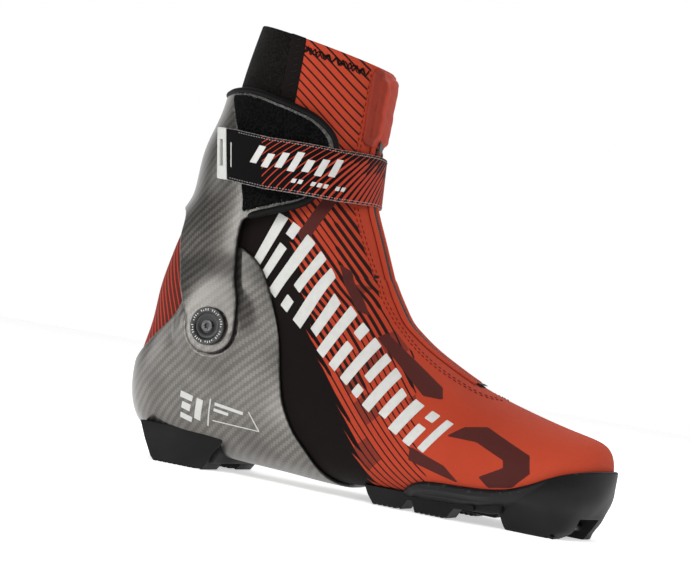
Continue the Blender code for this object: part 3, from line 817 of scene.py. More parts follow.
def carbon():
    """Twill of grey fibre tows under a satin clear coat, darker along its cut edges."""
    s = Shader("carbon_twill")
    u, v, _ = s.split(s.attribute("cloth_mm"))
    edge = s.attribute("edge_mm", "Fac")
    pitch = 1.55
    drift = s.times(s.plus(s.noise(0.03, 2), -0.5), 5.0)
    i = s.times(s.plus(u, drift), 1 / pitch)
    j = s.times(v, 1 / pitch)
    step = s.times(s.plus(s.floor(i), s.floor(j)), 0.25)
    over = s.math("LESS_THAN", s.math("FRACT", step), 0.5)
    hump, hump_two = (s.math("MULTIPLY_ADD", s.off_middle(place), -2.0, 1.0) for place in (i, j))
    under = s.minus(1.0, over)
    round_tow = s.plus(s.times(over, hump), s.times(under, hump_two))
    fibres = s.plus(s.times(over, s.wave(u, 0.27)), s.times(under, s.wave(v, 0.27)))
    tone = s.mix(over, "5f5c58", "75726d")
    tone = s.mix(s.ramp(round_tow, 0.0, 0.35, 0.3, 0.0), tone, "45423f")
    tone = s.mix(s.times(fibres, 0.1), tone, "8a8883")
    tone = s.mix(s.ramp(s.noise(0.045, 3), 0.35, 0.7, 0.0, 0.35), tone, "3c3a37")
    tone = s.mix(s.ramp(edge, 0.75, 0.2), tone, "1d1c1b")
    scratches = s.noise(1.0, 4, 0.7, at=s.join(s.times(u, 0.35), s.times(v, 3.0)))
    rough = s.plus(s.ramp(scratches, 0.4, 0.75, 0.30, 0.42), s.times(over, 0.05))
    normal = s.bump(s.plus(round_tow, s.times(fibres, 0.15)), 0.1)
    return s.finish(tone, rough, normal, Metallic=0.85, Specular_IOR_Level=0.5, Coat_Weight=0.4,
                    Coat_Roughness=0.2, Coat_IOR=1.5)


def moulded_rubber(name, dark, light):
    """Black sole rubber with a fine moulded grain and scuffs on its edges."""
    s = Shader(name)
    edge = s.attribute("edge_mm", "Fac")
    grain = s.noise(2.2, 3, 0.6)
    blotch = s.noise(0.04, 4)
    scuff = s.times(s.ramp(s.noise(0.5, 4, 0.7), 0.56, 0.7), s.ramp(edge, 2.2, 0.2))
    tone = s.mix(blotch, dark, light)
    tone = s.mix(s.times(grain, 0.2), tone, "161617")
    tone = s.mix(s.times(scuff, 0.5), tone, "555452")
    height = s.plus(s.times(grain, 0.6), s.times(s.cells(1.4), 0.5))
    return s.finish(tone, s.ramp(s.plus(blotch, s.times(grain, 0.3)), 0.4, 0.9, 0.5, 0.66),
                    s.bump(height, 0.25), Specular_IOR_Level=0.25)


def soft_moulded(name, dark, light, roughness):
    """Matte moulded elastomer with a fine skin and slightly paler, handled edges."""
    s = Shader(name)
    grain = s.noise(2.6, 3, 0.6)
    tone = s.mix(s.noise(0.08, 3), dark, light)
    tone = s.mix(s.ramp(s.attribute("edge_mm", "Fac"), 2.5, 0.0, 0.0, 0.35), tone, light)
    return s.grained(tone, grain, roughness - 0.05, roughness + 0.08, grain, 0.18, Specular_IOR_Level=0.15)


def pile(name, dark, light, size, sheen):
    """Brushed pile such as loop tape or neoprene: clumps, loose fibre and a soft sheen."""
    s = Shader(name)
    clump = s.cells(size)
    fuzz = s.noise(2.8, 4, 0.7)
    share = s.plus(s.times(s.ramp(clump, 0.2, 0.75), 0.55), s.times(s.ramp(fuzz, 0.36, 0.66), 0.45),
                   s.times(s.noise(0.09, 4), 0.3), -0.25)
    tone = s.mix(s.math("MAXIMUM", share, 0.0), dark, light)
    height = s.plus(clump, s.times(fuzz, 0.8))
    return s.finish(tone, 0.93, s.bump(height, 0.7, 0.0005), Sheen_Weight=sheen, Sheen_Roughness=0.35,
                    Specular_IOR_Level=0.05)


def strap_web():
    """Black webbing of the strap, with fine ribs and red diagonals that swell into bars in front."""
    s = Shader("strap_webbing")
    arc, height, _ = s.split(s.attribute("cloth_mm"))
    grain = s.noise(1.6, 3, 0.65)
    ribs = s.times(s.wave(arc, 0.8), s.wave(height, 0.55))
    black = s.mix(grain, "080708", "0f0e0e")
    bend = s.plus(arc, s.times(height, 0.95), s.times(height, height, 0.012))
    place = s.times(bend, 1 / 4.3)
    swell_at = s.plus(s.times(s.random(s.floor(place), 4.0), 9.0), 3.0)
    low_part = s.ramp(height, s.plus(swell_at, 1.5), s.plus(swell_at, -1.5))
    width = s.plus(0.085, s.times(s.ramp(arc, 60, 10), low_part, 0.24))
    bars = s.ramp(s.minus(width, s.off_middle(place)), -0.03, 0.03)
    bars = s.times(bars, s.ramp(s.plus(arc, s.times(height, -0.18)), 80.2, 79.6))
    tone = s.mix(bars, black, s.mix(grain, "9e3526", "b8442f"))
    tone = s.mix(s.times(ribs, 0.18), tone, "0c0b0b")
    selvedge = s.ramp(s.attribute("edge_mm", "Fac"), 0.55, 0.2)
    tone = s.mix(s.times(selvedge, s.ramp(grain, 0.42, 0.5)), tone, "8b8987")
    return s.grained(tone, grain, 0.68, 0.8, s.plus(ribs, s.times(grain, 0.4)), 0.4, 0.0003,
                     Sheen_Weight=0.02, Sheen_Roughness=0.4, Specular_IOR_Level=0.08)


def thread(name, dark, light):
    """Twisted sewing thread."""
    s = Shader(name)
    x, _, z = s.split(s.attribute("rest_mm"))
    twist = s.wave(s.plus(x, z), 0.35)
    grain = s.noise(3.0, 2)
    tone = s.mix(s.math("ADD", s.times(twist, 0.6), s.times(grain, 0.4), clamp=True), dark, light)
    return s.grained(tone, grain, 0.5, 0.7, twist, 0.3, 0.0001, Specular_IOR_Level=0.12)


def hard_plastic(name, dark, light, roughness):
    """Moulded plastic with a fine grain, rubbed pale in places along its edges."""
    s = Shader(name)
    grain = s.noise(1.8, 4, 0.65)
    worn = s.times(s.ramp(s.noise(0.9, 4, 0.7), 0.55, 0.7), 0.5,
                   s.ramp(s.attribute("edge_mm", "Fac"), 0.8, 0.0))
    tone = s.mix(worn, s.mix(grain, dark, light), "8a8a88")
    height = s.plus(grain, s.times(s.noise(6.0), 0.4))
    return s.grained(tone, grain, roughness - 0.08, roughness + 0.08, height, 0.08, Specular_IOR_Level=0.5)


def steel(name, dark, light):
    """Brushed steel with a little grime."""
    s = Shader(name)
    x, y, z = s.split(s.attribute("rest_mm"))
    brushed = s.noise(1.0, 4, 0.7, at=s.join(s.times(x, 0.4), s.times(y, 6.0), s.times(z, 0.4)))
    grime = s.times(s.ramp(s.noise(0.25, 4, 0.6), 0.5, 0.75), 0.4)
    tone = s.mix(grime, s.mix(brushed, dark, light), "4a4846")
    return s.grained(tone, brushed, 0.22, 0.38, brushed, 0.12, Metallic=1.0)


# name, colour, pitch of the weave, roughness, unevenness, sheen and relief
CLOTHS = (
    ("lining_knit", "1e1c1b", 1.1, 0.9, 0.15, 0.35), ("softshell_plain", "a83c27", 0.75, 0.76, 0.07, 0.15),
    ("garage_film", "a84334", 0.5, 0.6, 0.05, 0.0, 0.15), ("zip_tape_cloth", "2a1715", 0.6, 0.85),
    ("seam_tape_cloth", "130f0e", 0.6, 0.85, 0.1), ("pad_cloth", "262423", 1.2, 0.92, 0.15, 0.4),
    ("tongue_cloth", "2b2726", 1.0, 0.9, 0.12, 0.3), ("insole_cloth", "3a3836", 1.2, 0.92, 0.12, 0.3),
    ("board_fibre", "6f675c", 1.5, 0.9, 0.2, 0.1), ("puff_felt", "504c48", 1.4, 0.95, 0.2, 0.4),
)
# the rest: name, darker and lighter colour, and what their function asks for
PILES = (
    ("neoprene_knit", "030303", "201e1c", 0.9, 0.04), ("loop_pile_black", "000000", "161617", 0.75, 0.02),
    ("hook_tape_black", "0b0b0b", "2b2b2c", 0.8, 0.2),
)
PLASTICS = (
    ("coil_plastic", "1a1616", "2c2524", 0.4), ("tab_pale_plastic", "acaca8", "c4c4c0", 0.5),
    ("disc_print", "cfcfcb", "e6e6e3", 0.5), ("disc_black", "0b0b0b", "1a1a1a", 0.36),
    ("plastic_black", "141414", "272727", 0.4),
)
THREADS = (
    ("thread_grey", "6e6c6a", "b0aeab"), ("thread_maroon", "4a100f", "7a221b"),
    ("thread_black", "040404", "100f0f"), ("thread_charcoal", "0c0b0b", "2c2927"),
    ("garage_thread", "6e2118", "8e2e20"), ("loop_fray", "4a4a4b", "a2a2a0"),
)
COVERS = (("rim_cover", "070606", "0e0d0c", 0.6),)
RUBBERS = (("sole_rubber", "060607", "0d0d0e"), ("rand_rubber", "0a0a0b", "131314"))
STEELS = (("bolt_dark_steel", "2e2e30", "565658"), ("toe_bar_steel", "6b6d6f", "b4b6b8"))

LOOKS = {
    "softshell_print": printed_softshell(), "pale_print": printed_ink(),
    "carbon_twill": carbon(), "strap_webbing": strap_web(),
}
for make, rows in ((woven, CLOTHS), (pile, PILES), (hard_plastic, PLASTICS), (thread, THREADS),
                   (soft_moulded, COVERS), (moulded_rubber, RUBBERS), (steel, STEELS)):
    LOOKS.update({row[0]: make(*row) for row in rows})


# Pieces

SIDES = (("lateral", -1), ("medial", 1))
CUFF_START, CUFF_END = (0, 0, 0.100), (0, 0, 0.170)


SWELL_FRAMES = 20
SWELL_SCALE = 10.0


def swell(piece, most):
    """Swells a padded piece with a short cloth simulation and keeps at most that many mm of movement."""
    rest = np.empty(3 * len(piece.data.vertices))
    piece.data.vertices.foreach_get("co", rest)
    work = bpy.data.objects.new("swelling", piece.data.copy())
    bpy.context.scene.collection.objects.link(work)
    work.data.vertices.foreach_set("co", rest * SWELL_SCALE)
    cloth = work.modifiers.new("cloth", "CLOTH")
    cloth.settings.use_pressure = True
    cloth.settings.uniform_pressure_force = 4.0
    cloth.settings.effector_weights.gravity = 0.0
    cloth.settings.quality = 4
    cloth.collision_settings.use_collision = False
    cloth.point_cache.frame_end = SWELL_FRAMES
    for number in range(1, SWELL_FRAMES + 1):
        bpy.context.scene.frame_set(number)
    seen = work.evaluated_get(bpy.context.evaluated_depsgraph_get())
    moved = np.empty_like(rest)
    seen.data.vertices.foreach_get("co", moved)
    shift = (moved / SWELL_SCALE - rest).reshape(-1, 3)
    far = np.linalg.norm(shift, axis=1, keepdims=True)
    limit = most * MM
    shift = np.where(np.isfinite(shift), shift, 0.0) * limit / np.maximum(far + limit, 1e-9)
    piece.data.vertices.foreach_set("co", rest + shift.ravel())
    piece.data.update()
    bpy.data.objects.remove(work)
    bpy.context.scene.frame_set(1)


def settle(piece, material, body=None, replaces=(), padded=None, blend=None):
    """Gives a finished piece its material and ties it to its body; a piece given a blend is only baked in
    place.
    """
    if padded is not None:
        swell(piece, padded)
    if material is not None:
        piece.data.materials.clear()
        piece.data.materials.append(LOOKS[material])
    if blend is None:
        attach(piece, body)
    else:
        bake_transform(piece)
    if replaces:
        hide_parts(*replaces)
    return piece


BENDING = ("boot", "cuff", CUFF_START, CUFF_END)


def node_box(name):
    """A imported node's box, in shoe millimetres."""
    low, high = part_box(name)
    return np.array(low) / MM - SHIFT, np.array(high) / MM - SHIFT


def side_field(outline, side=0):
    """Depth inside a side-view outline of the skin's points, on one side or on both."""
    outline = np.asarray(outline, float)

    def field(a, b):
        spot = skin(a, b)
        depth = inside(outline, spot[..., 0], spot[..., 2])
        if side:
            depth = np.minimum(depth, spot[..., 1] * side)
        return depth

    return field


def strip_outline(path, width):
    """A side-view outline of a strip along a path."""
    path = np.asarray(path, float)
    ahead = unit(np.gradient(path, axis=0))
    across = np.stack([-ahead[:, 1], ahead[:, 0]], 1) * width / 2
    return np.concatenate([path + across, (path - across)[::-1]])


# Printed shapes on the side of the upper

STRIPE_ZONE = ((40, -30), (40, 320), (320, 320), (245, 75), (262, 36), (250, 0), (200, -30))
BLACK_ZONE = (
    (108.8, 155.2), (115.3, 134.0), (119.5, 125.3), (129.4, 100.3), (133.9, 86.1), (142.1, 77.0),
    (152.9, 60.3), (162.4, 49.4), (172.4, 35.2), (183.0, 17.0), (192, -10), (150, -40), (50, -40), (50, 176),
    (100, 176),
)
SHADOW_SHAPES = (
    ((171.5, 95.6), (213.2, 70.5), (216.5, 64.1), (205.6, 64.5), (167.6, 91.9)),
    ((233.4, 51.9), (244.6, 53.9), (270.6, 42.6), (272.8, 33.2), (264.7, 24.2), (252.4, 22.0), (247, 27),
     (259, 34), (258, 38), (242, 45), (225.3, 45.5)),
    ((206.8, 36.7), (227.9, 29.5), (237.5, 21.4), (207.1, 29.1)),
    ((124, 168), (131, 168), (119, 137), (113, 141)),
    ((139, 130), (146, 127), (160, 103), (152, 106)),
)
BAND_LOW = smooth_path([(90, 123), (98.3, 114.5), (116, 98), (135.2, 80.6), (147.1, 71.6), (172.9, 53.3),
                        (185.5, 47), (213.6, 32.4)], 1)
BAND_HIGH = smooth_path([(101, 153.5), (113, 148), (128, 136), (143, 117), (156, 101), (190.8, 72.3),
                         (204, 61.5), (227.3, 52.5)], 1)
# slanted pale bars: start and end along the band, low and high across it, as shares
PALE_BARS = (
    (0.000, 0.038, 0.00, 1.00), (0.060, 0.094, 0.00, 0.62), (0.060, 0.094, 0.78, 1.00),
    (0.126, 0.168, 0.00, 1.00), (0.200, 0.236, 0.36, 1.00), (0.200, 0.236, 0.00, 0.20),
    (0.268, 0.310, 0.00, 1.00), (0.342, 0.380, 0.14, 0.86), (0.412, 0.452, 0.00, 1.00),
    (0.484, 0.522, 0.00, 0.56), (0.484, 0.522, 0.74, 1.00), (0.554, 0.596, 0.00, 1.00),
    (0.628, 0.664, 0.40, 1.00), (0.628, 0.664, 0.00, 0.22), (0.696, 0.738, 0.00, 1.00),
    (0.770, 0.806, 0.12, 0.88), (0.838, 0.880, 0.00, 1.00), (0.912, 0.946, 0.00, 0.58),
    (0.912, 0.946, 0.76, 1.00), (0.972, 1.000, 0.10, 1.00),
)


def band_point(share, across):
    """A place in the band of pale bars, by its share along the band and across it."""
    low, high = (read_at(share, np.linspace(0, 1, len(edge)), edge) for edge in (BAND_LOW, BAND_HIGH))
    return low + (high - low) * across


def shapes_field(shapes, x, z):
    """Depth inside the nearest of several shapes, for points near them; far points are negative."""
    reach = 3.0
    made = np.full(len(x), -reach)
    for shape in shapes:
        shape = np.asarray(shape, float)
        low, high = shape.min(0) - reach, shape.max(0) + reach
        near = (x > low[0]) & (x < high[0]) & (z > low[1]) & (z < high[1])
        if near.any():
            made[near] = np.maximum(made[near], inside(shape, x[near], z[near]))
    return made


def pale_bars():
    """Outlines of the pale bars, in side view."""
    made = []
    for start, end, low, high in PALE_BARS:
        shares = np.linspace(start, end, 4)
        made.append([band_point(s, low) for s in shares] + [band_point(s, high) for s in shares[::-1]])
    return made


def print_values(spots, sections):
    """What the printed cloth reads at each point: stripe coordinates and depths inside printed zones."""
    x, z = spots[:, 0], spots[:, 2]
    u, w = (x - 150) / 100, (z - 150) / 100
    flow = 100 * (0.748 * u + 0.67 * w + 0.078 * u * u - 0.032 * u * w - 0.036 * w * w - 0.118 * u ** 3
                  - 0.091 * u * u * w - 0.184 * u * w * w - 0.042 * w ** 3)
    order = FACING[::-1]
    facing = np.interp(sections, order[:, 0], -order[:, 2])
    behind = np.abs(spots[:, 1] - FAN(sections)[..., 4]) - facing - 1.5
    behind = np.where(sections < 4.9, 4.0, behind)
    return {
        "flow_mm": flow,
        "along_mm": 0.7 * (x - z),
        "stripe_zone": np.clip(np.minimum(inside(STRIPE_ZONE, x, z), behind), -4, 4),
        "block_zone": np.clip(np.minimum(x - 150, 120 - z), -4, 4),
        "black_ink": np.clip(inside(BLACK_ZONE, x, z), -9, 9),
        "shadow_ink": shapes_field(SHADOW_SHAPES, x, z),
    }


def make_upper():
    """The sewn upper: printed cloth outside, a turned rim at the collar and a dark lining inside."""
    rows = rows_between(0, LAST - 0.05, 1.7)
    turns = np.linspace(0, 1, 209)[:-1]
    point, normal = skin_frame(rows[:, None], turns[None])
    rings = []
    tip = point[0].mean(0)
    for share in (0.3, 0.65, 0.88):
        rings.append(tip + (point[0] - tip) * share + np.array((1.2 * (1 - share ** 2), 0, 0)))
    rings += list(point)
    ahead = unit(point[-1] - point[-2])
    rim = 1.2
    for angle in np.linspace(0, math.pi, 7)[1:]:
        rings.append(point[-1] - normal[-1] * rim + normal[-1] * rim * math.cos(angle)
                     + ahead * rim * math.sin(angle))
    outer = len(rings) - 3
    inner_rows = rows_between(1.2, LAST - 0.1, 6.0)[::-1]
    inner, inner_normal = skin_frame(inner_rows[:, None], turns[None])
    rings += list(inner - inner_normal * 2.4)
    rings = np.array(rings)
    spots = rings.reshape(-1, 3)
    sections = np.concatenate(([0.0] * 3, rows, [LAST] * 6, inner_rows))
    made = sweep("upper", rings, values=print_values(spots, np.repeat(sections, len(turns))))
    data = made.data
    for look in ("softshell_print", "neoprene_knit", "lining_knit"):
        data.materials.append(LOOKS[look])
    count = len(turns)
    centres = np.empty(len(data.polygons) * 3)
    data.polygons.foreach_get("center", centres)
    centres = centres.reshape(-1, 3) / MM - SHIFT
    firsts = np.array([min(p.vertices) for p in data.polygons]) // count
    pick = np.zeros(len(data.polygons), np.int32)
    pick[(centres[:, 0] < 95.3) & (centres[:, 2] > 185)] = 1
    pick[firsts >= outer] = 2
    data.polygons.foreach_set("material_index", pick)
    settle(made, None, blend=BENDING, replaces=("upper_foot", "upper_ankle", "collar"))
    tree = tree_of(made)
    for label, side in SIDES:
        marks = decals(f"upper_bars_{label}", pale_bars(), side_place(tree, side), 0.6)
        settle(marks, "pale_print", blend=BENDING)


def ridge_rows(first, last, size):
    """Section numbers spaced evenly on the front ridge."""
    fine = np.linspace(first, last, 1200)
    line = skin(fine, 0)
    along = travelled(line)
    return np.interp(np.linspace(0, along[-1], int(along[-1] / size) + 1), along, fine)


# section numbers at the zip's ends, and distances from its middle in millimetres
ZIP_END, ZIP_TOP = 5.3, 22.6
TAPE_HALF = 4.6
WELT_INNER, WELT_OUTER = 2.1, 6.9
GROOVE_OUT = 7.5
COIL_HALF = 2.1


def make_zip():
    """The zip's tape, its two welts and grooves, its coil and the bar tack at its lower end."""
    rows = ridge_rows(ZIP_END, ZIP_TOP, 1.0)
    columns = np.linspace(-0.06, 0.06, 61)
    start_x = skin(ZIP_END, 0)[0]

    def from_end(a):
        return start_x - skin(a, 0)[..., 0]

    def tape_field(a, b):
        spot = skin(a, b)
        return np.minimum(TAPE_HALF - np.abs(spot[..., 1] - FAN(a)[..., 4]), from_end(a) + 3.5)

    made = patch("zip_tape", skin_frame, ridge_rows(ZIP_END - 0.2, ZIP_TOP, 1.2), columns, tape_field,
                 -1.0, 0.35, edge=0.3)
    settle(made, "zip_tape_cloth", blend=BENDING)

    for label, side in SIDES:
        def welt_field(a, b):
            spot = skin(a, b)
            away = side * (spot[..., 1] - FAN(a)[..., 4])
            return np.minimum(np.minimum(WELT_OUTER - away, away - WELT_INNER), from_end(a) + 1.0)

        made = patch(f"zip_welt_{label}", skin_frame, rows, columns, welt_field, -0.5, 1.15, edge=0.9,
                     puff=lambda depth, spot: 0.5 * smoothstep(0.5, 2.4, depth), steps=4)
        settle(made, "softshell_plain", blend=BENDING)
        line = skin_frame(ridge_rows(ZIP_END - 0.1, 22.0, 1.2), 0.0)[0]
        line, ups = near_skin(line + (0, side * GROOVE_OUT, 0), 0.1)
        made = tube(f"zip_groove_{label}", line, ups, 0.9, 0.5, points=8, taper=3.0)
        settle(made, "thread_maroon", blend=BENDING)

    teeth = []
    path, normals = skin_frame(ridge_rows(ZIP_END, ZIP_TOP, 0.62), 0.0)
    for i, (spot, up) in enumerate(zip(path, normals)):
        side = 1 if i % 2 else -1
        start = spot + np.array((0, side * COIL_HALF, 0)) + up * 0.55
        end = spot + np.array((0, -side * 0.25, 0)) + up * 0.75
        teeth.append((start, end, up))
    made = stitches("zip_coil_teeth", teeth, 0.36)
    settle(made, "coil_plastic", blend=BENDING, replaces=("zip_coil",))

    bar = []
    spot, up = skin_frame(np.array([ZIP_END - 0.06, ZIP_END - 0.12]), 0.0)
    for row, normal in zip(spot, up):
        for k in range(-5, 6):
            base = row + np.array((0, k * 0.8, 0)) + normal * 0.9
            bar.append((base + np.array((-1.6, -0.25, 0)), base + np.array((1.6, 0.25, 0)), normal))
    made = stitches("zip_end_bartack", bar, 0.28)
    settle(made, "coil_plastic", blend=BENDING)


def make_garage():
    """Padded cloth garage over the zip's top, with a raised fold down one third and painted shade darkening
    its lateral side beyond the fold.
    """
    half_top, half_low = 13.6, 12.6
    z_low, z_high = 200.4, 246.0

    def field(a, b):
        spot = skin(a, b)
        y, z = spot[..., 1], spot[..., 2]
        half = half_low + (half_top - half_low) * (z - z_low) / (z_high - z_low) + np.where(y < 0, 3.2, 0.0)
        return round_corner(half - np.abs(y), np.minimum(z - z_low, z_high - z), 5.0)

    def puff(depth, spot):
        y, z = spot[:, 1], spot[:, 2]
        reach = 5.0 + 4.5 * smoothstep(2, -4, y)
        crown = 3.0 * smoothstep(0.4, 0.75, depth / reach)
        slope = 3.0 * np.clip((depth - 0.6) / reach, 0, 1) ** 1.6
        ridge = 0.95 * np.exp(-((y + 6.4) / 1.7) ** 2) * smoothstep(3, 7.5, depth)
        ripple = (0.22 * np.sin(z / 2.6) + 0.16 * np.sin(z / 1.3 + y / 3)) * smoothstep(3, 8, depth)
        return 0.35 * crown + 0.65 * slope + ridge + ripple

    # painted shade: marks the lateral side beyond the fold, which its cloth darkens as if in shadow
    def flank(spots):
        return {"flank": smoothstep(-7.4, -9.2, spots[:, 1])}

    made = patch("zip_garage_pad", skin_frame, ridge_rows(21.7, LAST, 0.8), np.linspace(-0.1, 0.1, 91),
                 field, -0.4, 1.4, edge=1.2, puff=puff, steps=5, extra=flank,
                 uv=lambda spots: spots[:, [1, 2, 0]] * (1, 1, 0))
    settle(made, "garage_film", "cuff", ("zip_garage",), padded=0.5)

    edge = []
    for z in np.arange(206, 243, 2.5):
        for side in (-1, 1):
            spot = np.array((137.6, side * 12.0, z))
            hit = SKIN_TREE.find_nearest(Vector(spot))
            up = np.array(hit[1])
            up = up if up[0] > 0 else -up
            base = np.array(hit[0]) + up * 2.6
            edge.append((base, base + np.array((0, 0, 1.7)), up))
    made = stitches("zip_garage_stitches", edge, 0.2)
    settle(made, "garage_thread", "cuff")


def rounded_plate(name, low, high, radius, segments=3):
    """A block with rounded edges, in shoe millimetres."""
    shape = bmesh.new()
    low, high = np.asarray(low, float), np.asarray(high, float)
    bmesh.ops.create_cube(shape, size=1.0)
    for vert in shape.verts:
        vert.co = Vector((low + high) / 2) + Vector(tuple(vert.co[i] * (high - low)[i] for i in range(3)))
    bmesh.ops.bevel(shape, geom=list(shape.edges), offset=radius, segments=segments, affect="EDGES",
                    profile=0.5, clamp_overlap=True)
    return from_bmesh(name, shape)


def from_bmesh(name, shape):
    """An object from a bmesh drawn in shoe millimetres."""
    shape.verts.ensure_lookup_table()
    shape.verts.index_update()
    points = np.array([tuple(v.co) for v in shape.verts])
    faces = [[v.index for v in face.verts] for face in shape.faces]
    shape.free()
    made = make_object(name, points, faces)
    recalculate(made)
    return made


def join_pieces(name, pieces):
    """One object in place of several."""
    points, faces = [], []
    for piece in pieces:
        base = len(points)
        points += [np.array(v.co) / MM - SHIFT for v in piece.data.vertices]
        faces += [[v + base for v in p.vertices] for p in piece.data.polygons]
        mesh = piece.data
        bpy.data.objects.remove(piece)
        bpy.data.meshes.remove(mesh)
    return make_object(name, np.array(points), faces)


def make_slider():
    """The slider's plate, the stem of its pull and the pull."""
    front = node_box("zip_slider")[1][0]
    stem = ((front - 1.5, 213), (front - 0.9, 213), (front - 0.9, 232), (front - 1.5, 232))
    pull = ((front - 0.4, 198.4), (front + 0.1, 198.4), (front - 1.0, 215), (front - 1.6, 215))
    parts = [rounded_plate("slider_body", (front - 1.5, -4.6, 230.5), (front, 4.6, 240), 0.6),
             prism("slider_stem", stem, -1.5, 1.5, 0.15, 1), prism("slider_pull", pull, -2.3, 2.3, 0.15, 1)]
    made = join_pieces("zip_slider_and_pull", parts)
    settle(made, "plastic_black", "slider", ("zip_slider",))


def flatten(plane, inner, outer):
    """A warp that brings the outside of a shell to a flat plane round the pivot."""

    def warp(spots, levels):
        away = np.hypot(spots[:, 0] - PIVOT[0], spots[:, 2] - PIVOT[1])
        share = 1 - smoothstep(inner, outer, away)
        side = np.sign(spots[:, 1])
        top = levels.max()
        target = side * (plane - (top - levels))
        spots = spots.copy()
        spots[:, 1] += (target - spots[:, 1]) * share
        return spots

    return warp


# pale marks on the cup, each an outline of x and z
CUP_MARKS = (
    ((58.0, 43.5), (66.5, 41.5), (65.8, 38.2), (57.6, 40.0)),
    ((59.5, 37.6), (65.4, 36.2), (64.6, 32.2), (58.9, 33.8)),
    ((58.6, 31.2), (66.6, 29.2), (65.9, 26.2), (58.3, 28.2)),
    ((69.0, 41.0), (73.2, 40.0), (71.9, 28.0), (67.9, 29.0)),
    ((77.6, 41.8), (78.4, 41.7), (77.4, 25.9), (76.6, 26.0)),
    ((81.0, 40.2), (99.6, 37.6), (99.4, 35.9), (80.8, 38.4)),
    ((80.6, 36.8), (90.2, 35.5), (90.0, 33.8), (80.4, 35.1)),
    ((80.2, 29.9), (111.1, 28.6), (111.1, 28.1), (80.2, 29.3)),
    ((103.2, 38.4), (111.3, 28.6), (110.7, 28.2), (102.7, 38.2)),
)


# distance from the centre plane to the outer faces of the cup and the cuff's arms at the pivots
CUP_FACE = 47.4
ARM_FACE = 50.2


def make_shells():
    """The heel cup and the cuff in carbon, the cuff's padding and the rolled rim round its wing."""
    columns = np.linspace(0.06, 0.94, 300)
    cup_rows = rows_between(7.5, 19.6, 1.7)

    def cup_puff(depth, spot):
        away = np.hypot(spot[:, 0] - PIVOT[0], spot[:, 2] - PIVOT[1])
        return 0.55 * np.exp(-((away - 17.3) / 1.1) ** 2)

    cup_field = side_field(smooth_loop(CUP_OUTLINE, 6))
    made = patch("heel_cup_shell", skin_frame, cup_rows, columns, cup_field, 0.3, 2.3, edge=1.0,
                 warp=flatten(CUP_FACE, 17.5, 29), uv=wrap_uv, puff=cup_puff, steps=4)
    settle(made, "carbon_twill", "boot", ("heel_cup",))
    marks = decals("heel_cup_marks", CUP_MARKS, side_place(tree_of(made), -1), 0.3)
    settle(marks, "pale_print", "boot")

    cuff_rows = rows_between(12, 24, 1.7)
    field = side_field(smooth_loop(CUFF_OUTLINE, 6))
    made = patch("cuff_shell", skin_frame, cuff_rows, columns, field, 4.4, 6.4, edge=1.0,
                 warp=flatten(ARM_FACE, 15, 46), uv=wrap_uv, steps=4)
    settle(made, "carbon_twill", "cuff", ("cuff",))

    def pad_field(t, k):
        return np.minimum(field(t, k) - 0.4, skin(t, k)[..., 2] - 151.0)

    made = patch("cuff_pad", skin_frame, rows_between(17, 24, 2.4), columns[::2], pad_field, 0.5, 3.9,
                 edge=1.4, steps=4)
    settle(made, "rim_cover", "cuff", ("cuff_padding",), padded=0.6)

    params, faces = clipped_grid(cuff_rows, columns, lambda t, k: field(t, k) - 0.9)
    loop = max(border_loops(faces), key=len)
    spots, normals = skin_frame(params[loop, 0], params[loop, 1])
    keep = (spots[:, 2] > 189) | ((spots[:, 2] > 148.0) & (spots[:, 0] > 83))
    start = next(i for i in range(len(loop)) if keep[i] and not keep[i - 1])
    count = int(np.argmin(np.roll(keep, -start)))
    run = (start + np.arange(count)) % len(loop)
    path, ups = even_run(spots[run], normals[run], 1.2)
    sunk = smoothstep(160, 168, path[:, 2]) * smoothstep(203, 197, path[:, 2]) * (path[:, 1] > 0)
    path = path + ups * (5.0 - 1.3 * sunk)[:, None]
    made = tube("cuff_rolled_rim", path, ups, 4.3, 5.2, points=16, taper=4.0)
    settle(made, "rim_cover", "cuff", padded=0.7)


def even_run(spots, normals, step):
    """A path divided evenly and smoothed, with its normals."""
    along = travelled(spots)
    where = np.linspace(0, along[-1], int(along[-1] / step) + 1)
    both = [read_at(where, along, rows) for rows in (spots, normals)]
    for _ in range(6):
        for data in both:
            data[1:-1] = (data[:-2] + 2 * data[1:-1] + data[2:]) / 4
    return both[0], unit(both[1])


def tree_of(piece):
    """A piece's surface as a tree that rays can be sent to."""
    points = [Vector((np.array(v.co) / MM - SHIFT).tolist()) for v in piece.data.vertices]
    return BVHTree.FromPolygons(points, [list(p.vertices) for p in piece.data.polygons])


def side_place(tree, side):
    """Lays side-view points on a piece from its lateral (-1) or medial (1) side."""

    def place(params):
        tops, lows = [], []
        for x, z in params:
            hit = tree.ray_cast(Vector((x, side * 90.0, z)), Vector((0, -side, 0)))[0] or Vector((x, 0, z))
            tops.append((hit.x, hit.y + side * 0.12, hit.z))
            lows.append((hit.x, hit.y - side * 0.1, hit.z))
        return np.array(tops), np.array(lows)

    return place


def decals(name, shapes, place, step=0.5):
    """Thin printed shapes raised a hair above what they lie on."""
    points, faces = [], []
    for shape in shapes:
        outline = np.asarray(shape, float)
        low, high = outline.min(0) - step, outline.max(0) + step
        lines = [np.arange(low[i], high[i] + step, step) for i in (0, 1)]
        params, cells = clipped_grid(*lines, lambda a, b: inside(outline, a, b) - 0.001)
        tops, lows = place(params)
        base = len(points)
        points += list(tops)
        faces += [[v + base for v in cell] for cell in cells]
        for loop in border_loops(cells):
            start = len(points)
            points += [lows[v] for v in loop]
            for i in range(len(loop)):
                j = (i + 1) % len(loop)
                faces.append([loop[j] + base, loop[i] + base, start + i, start + j])
    made = make_object(name, np.array(points), faces)
    recalculate(made)
    return made


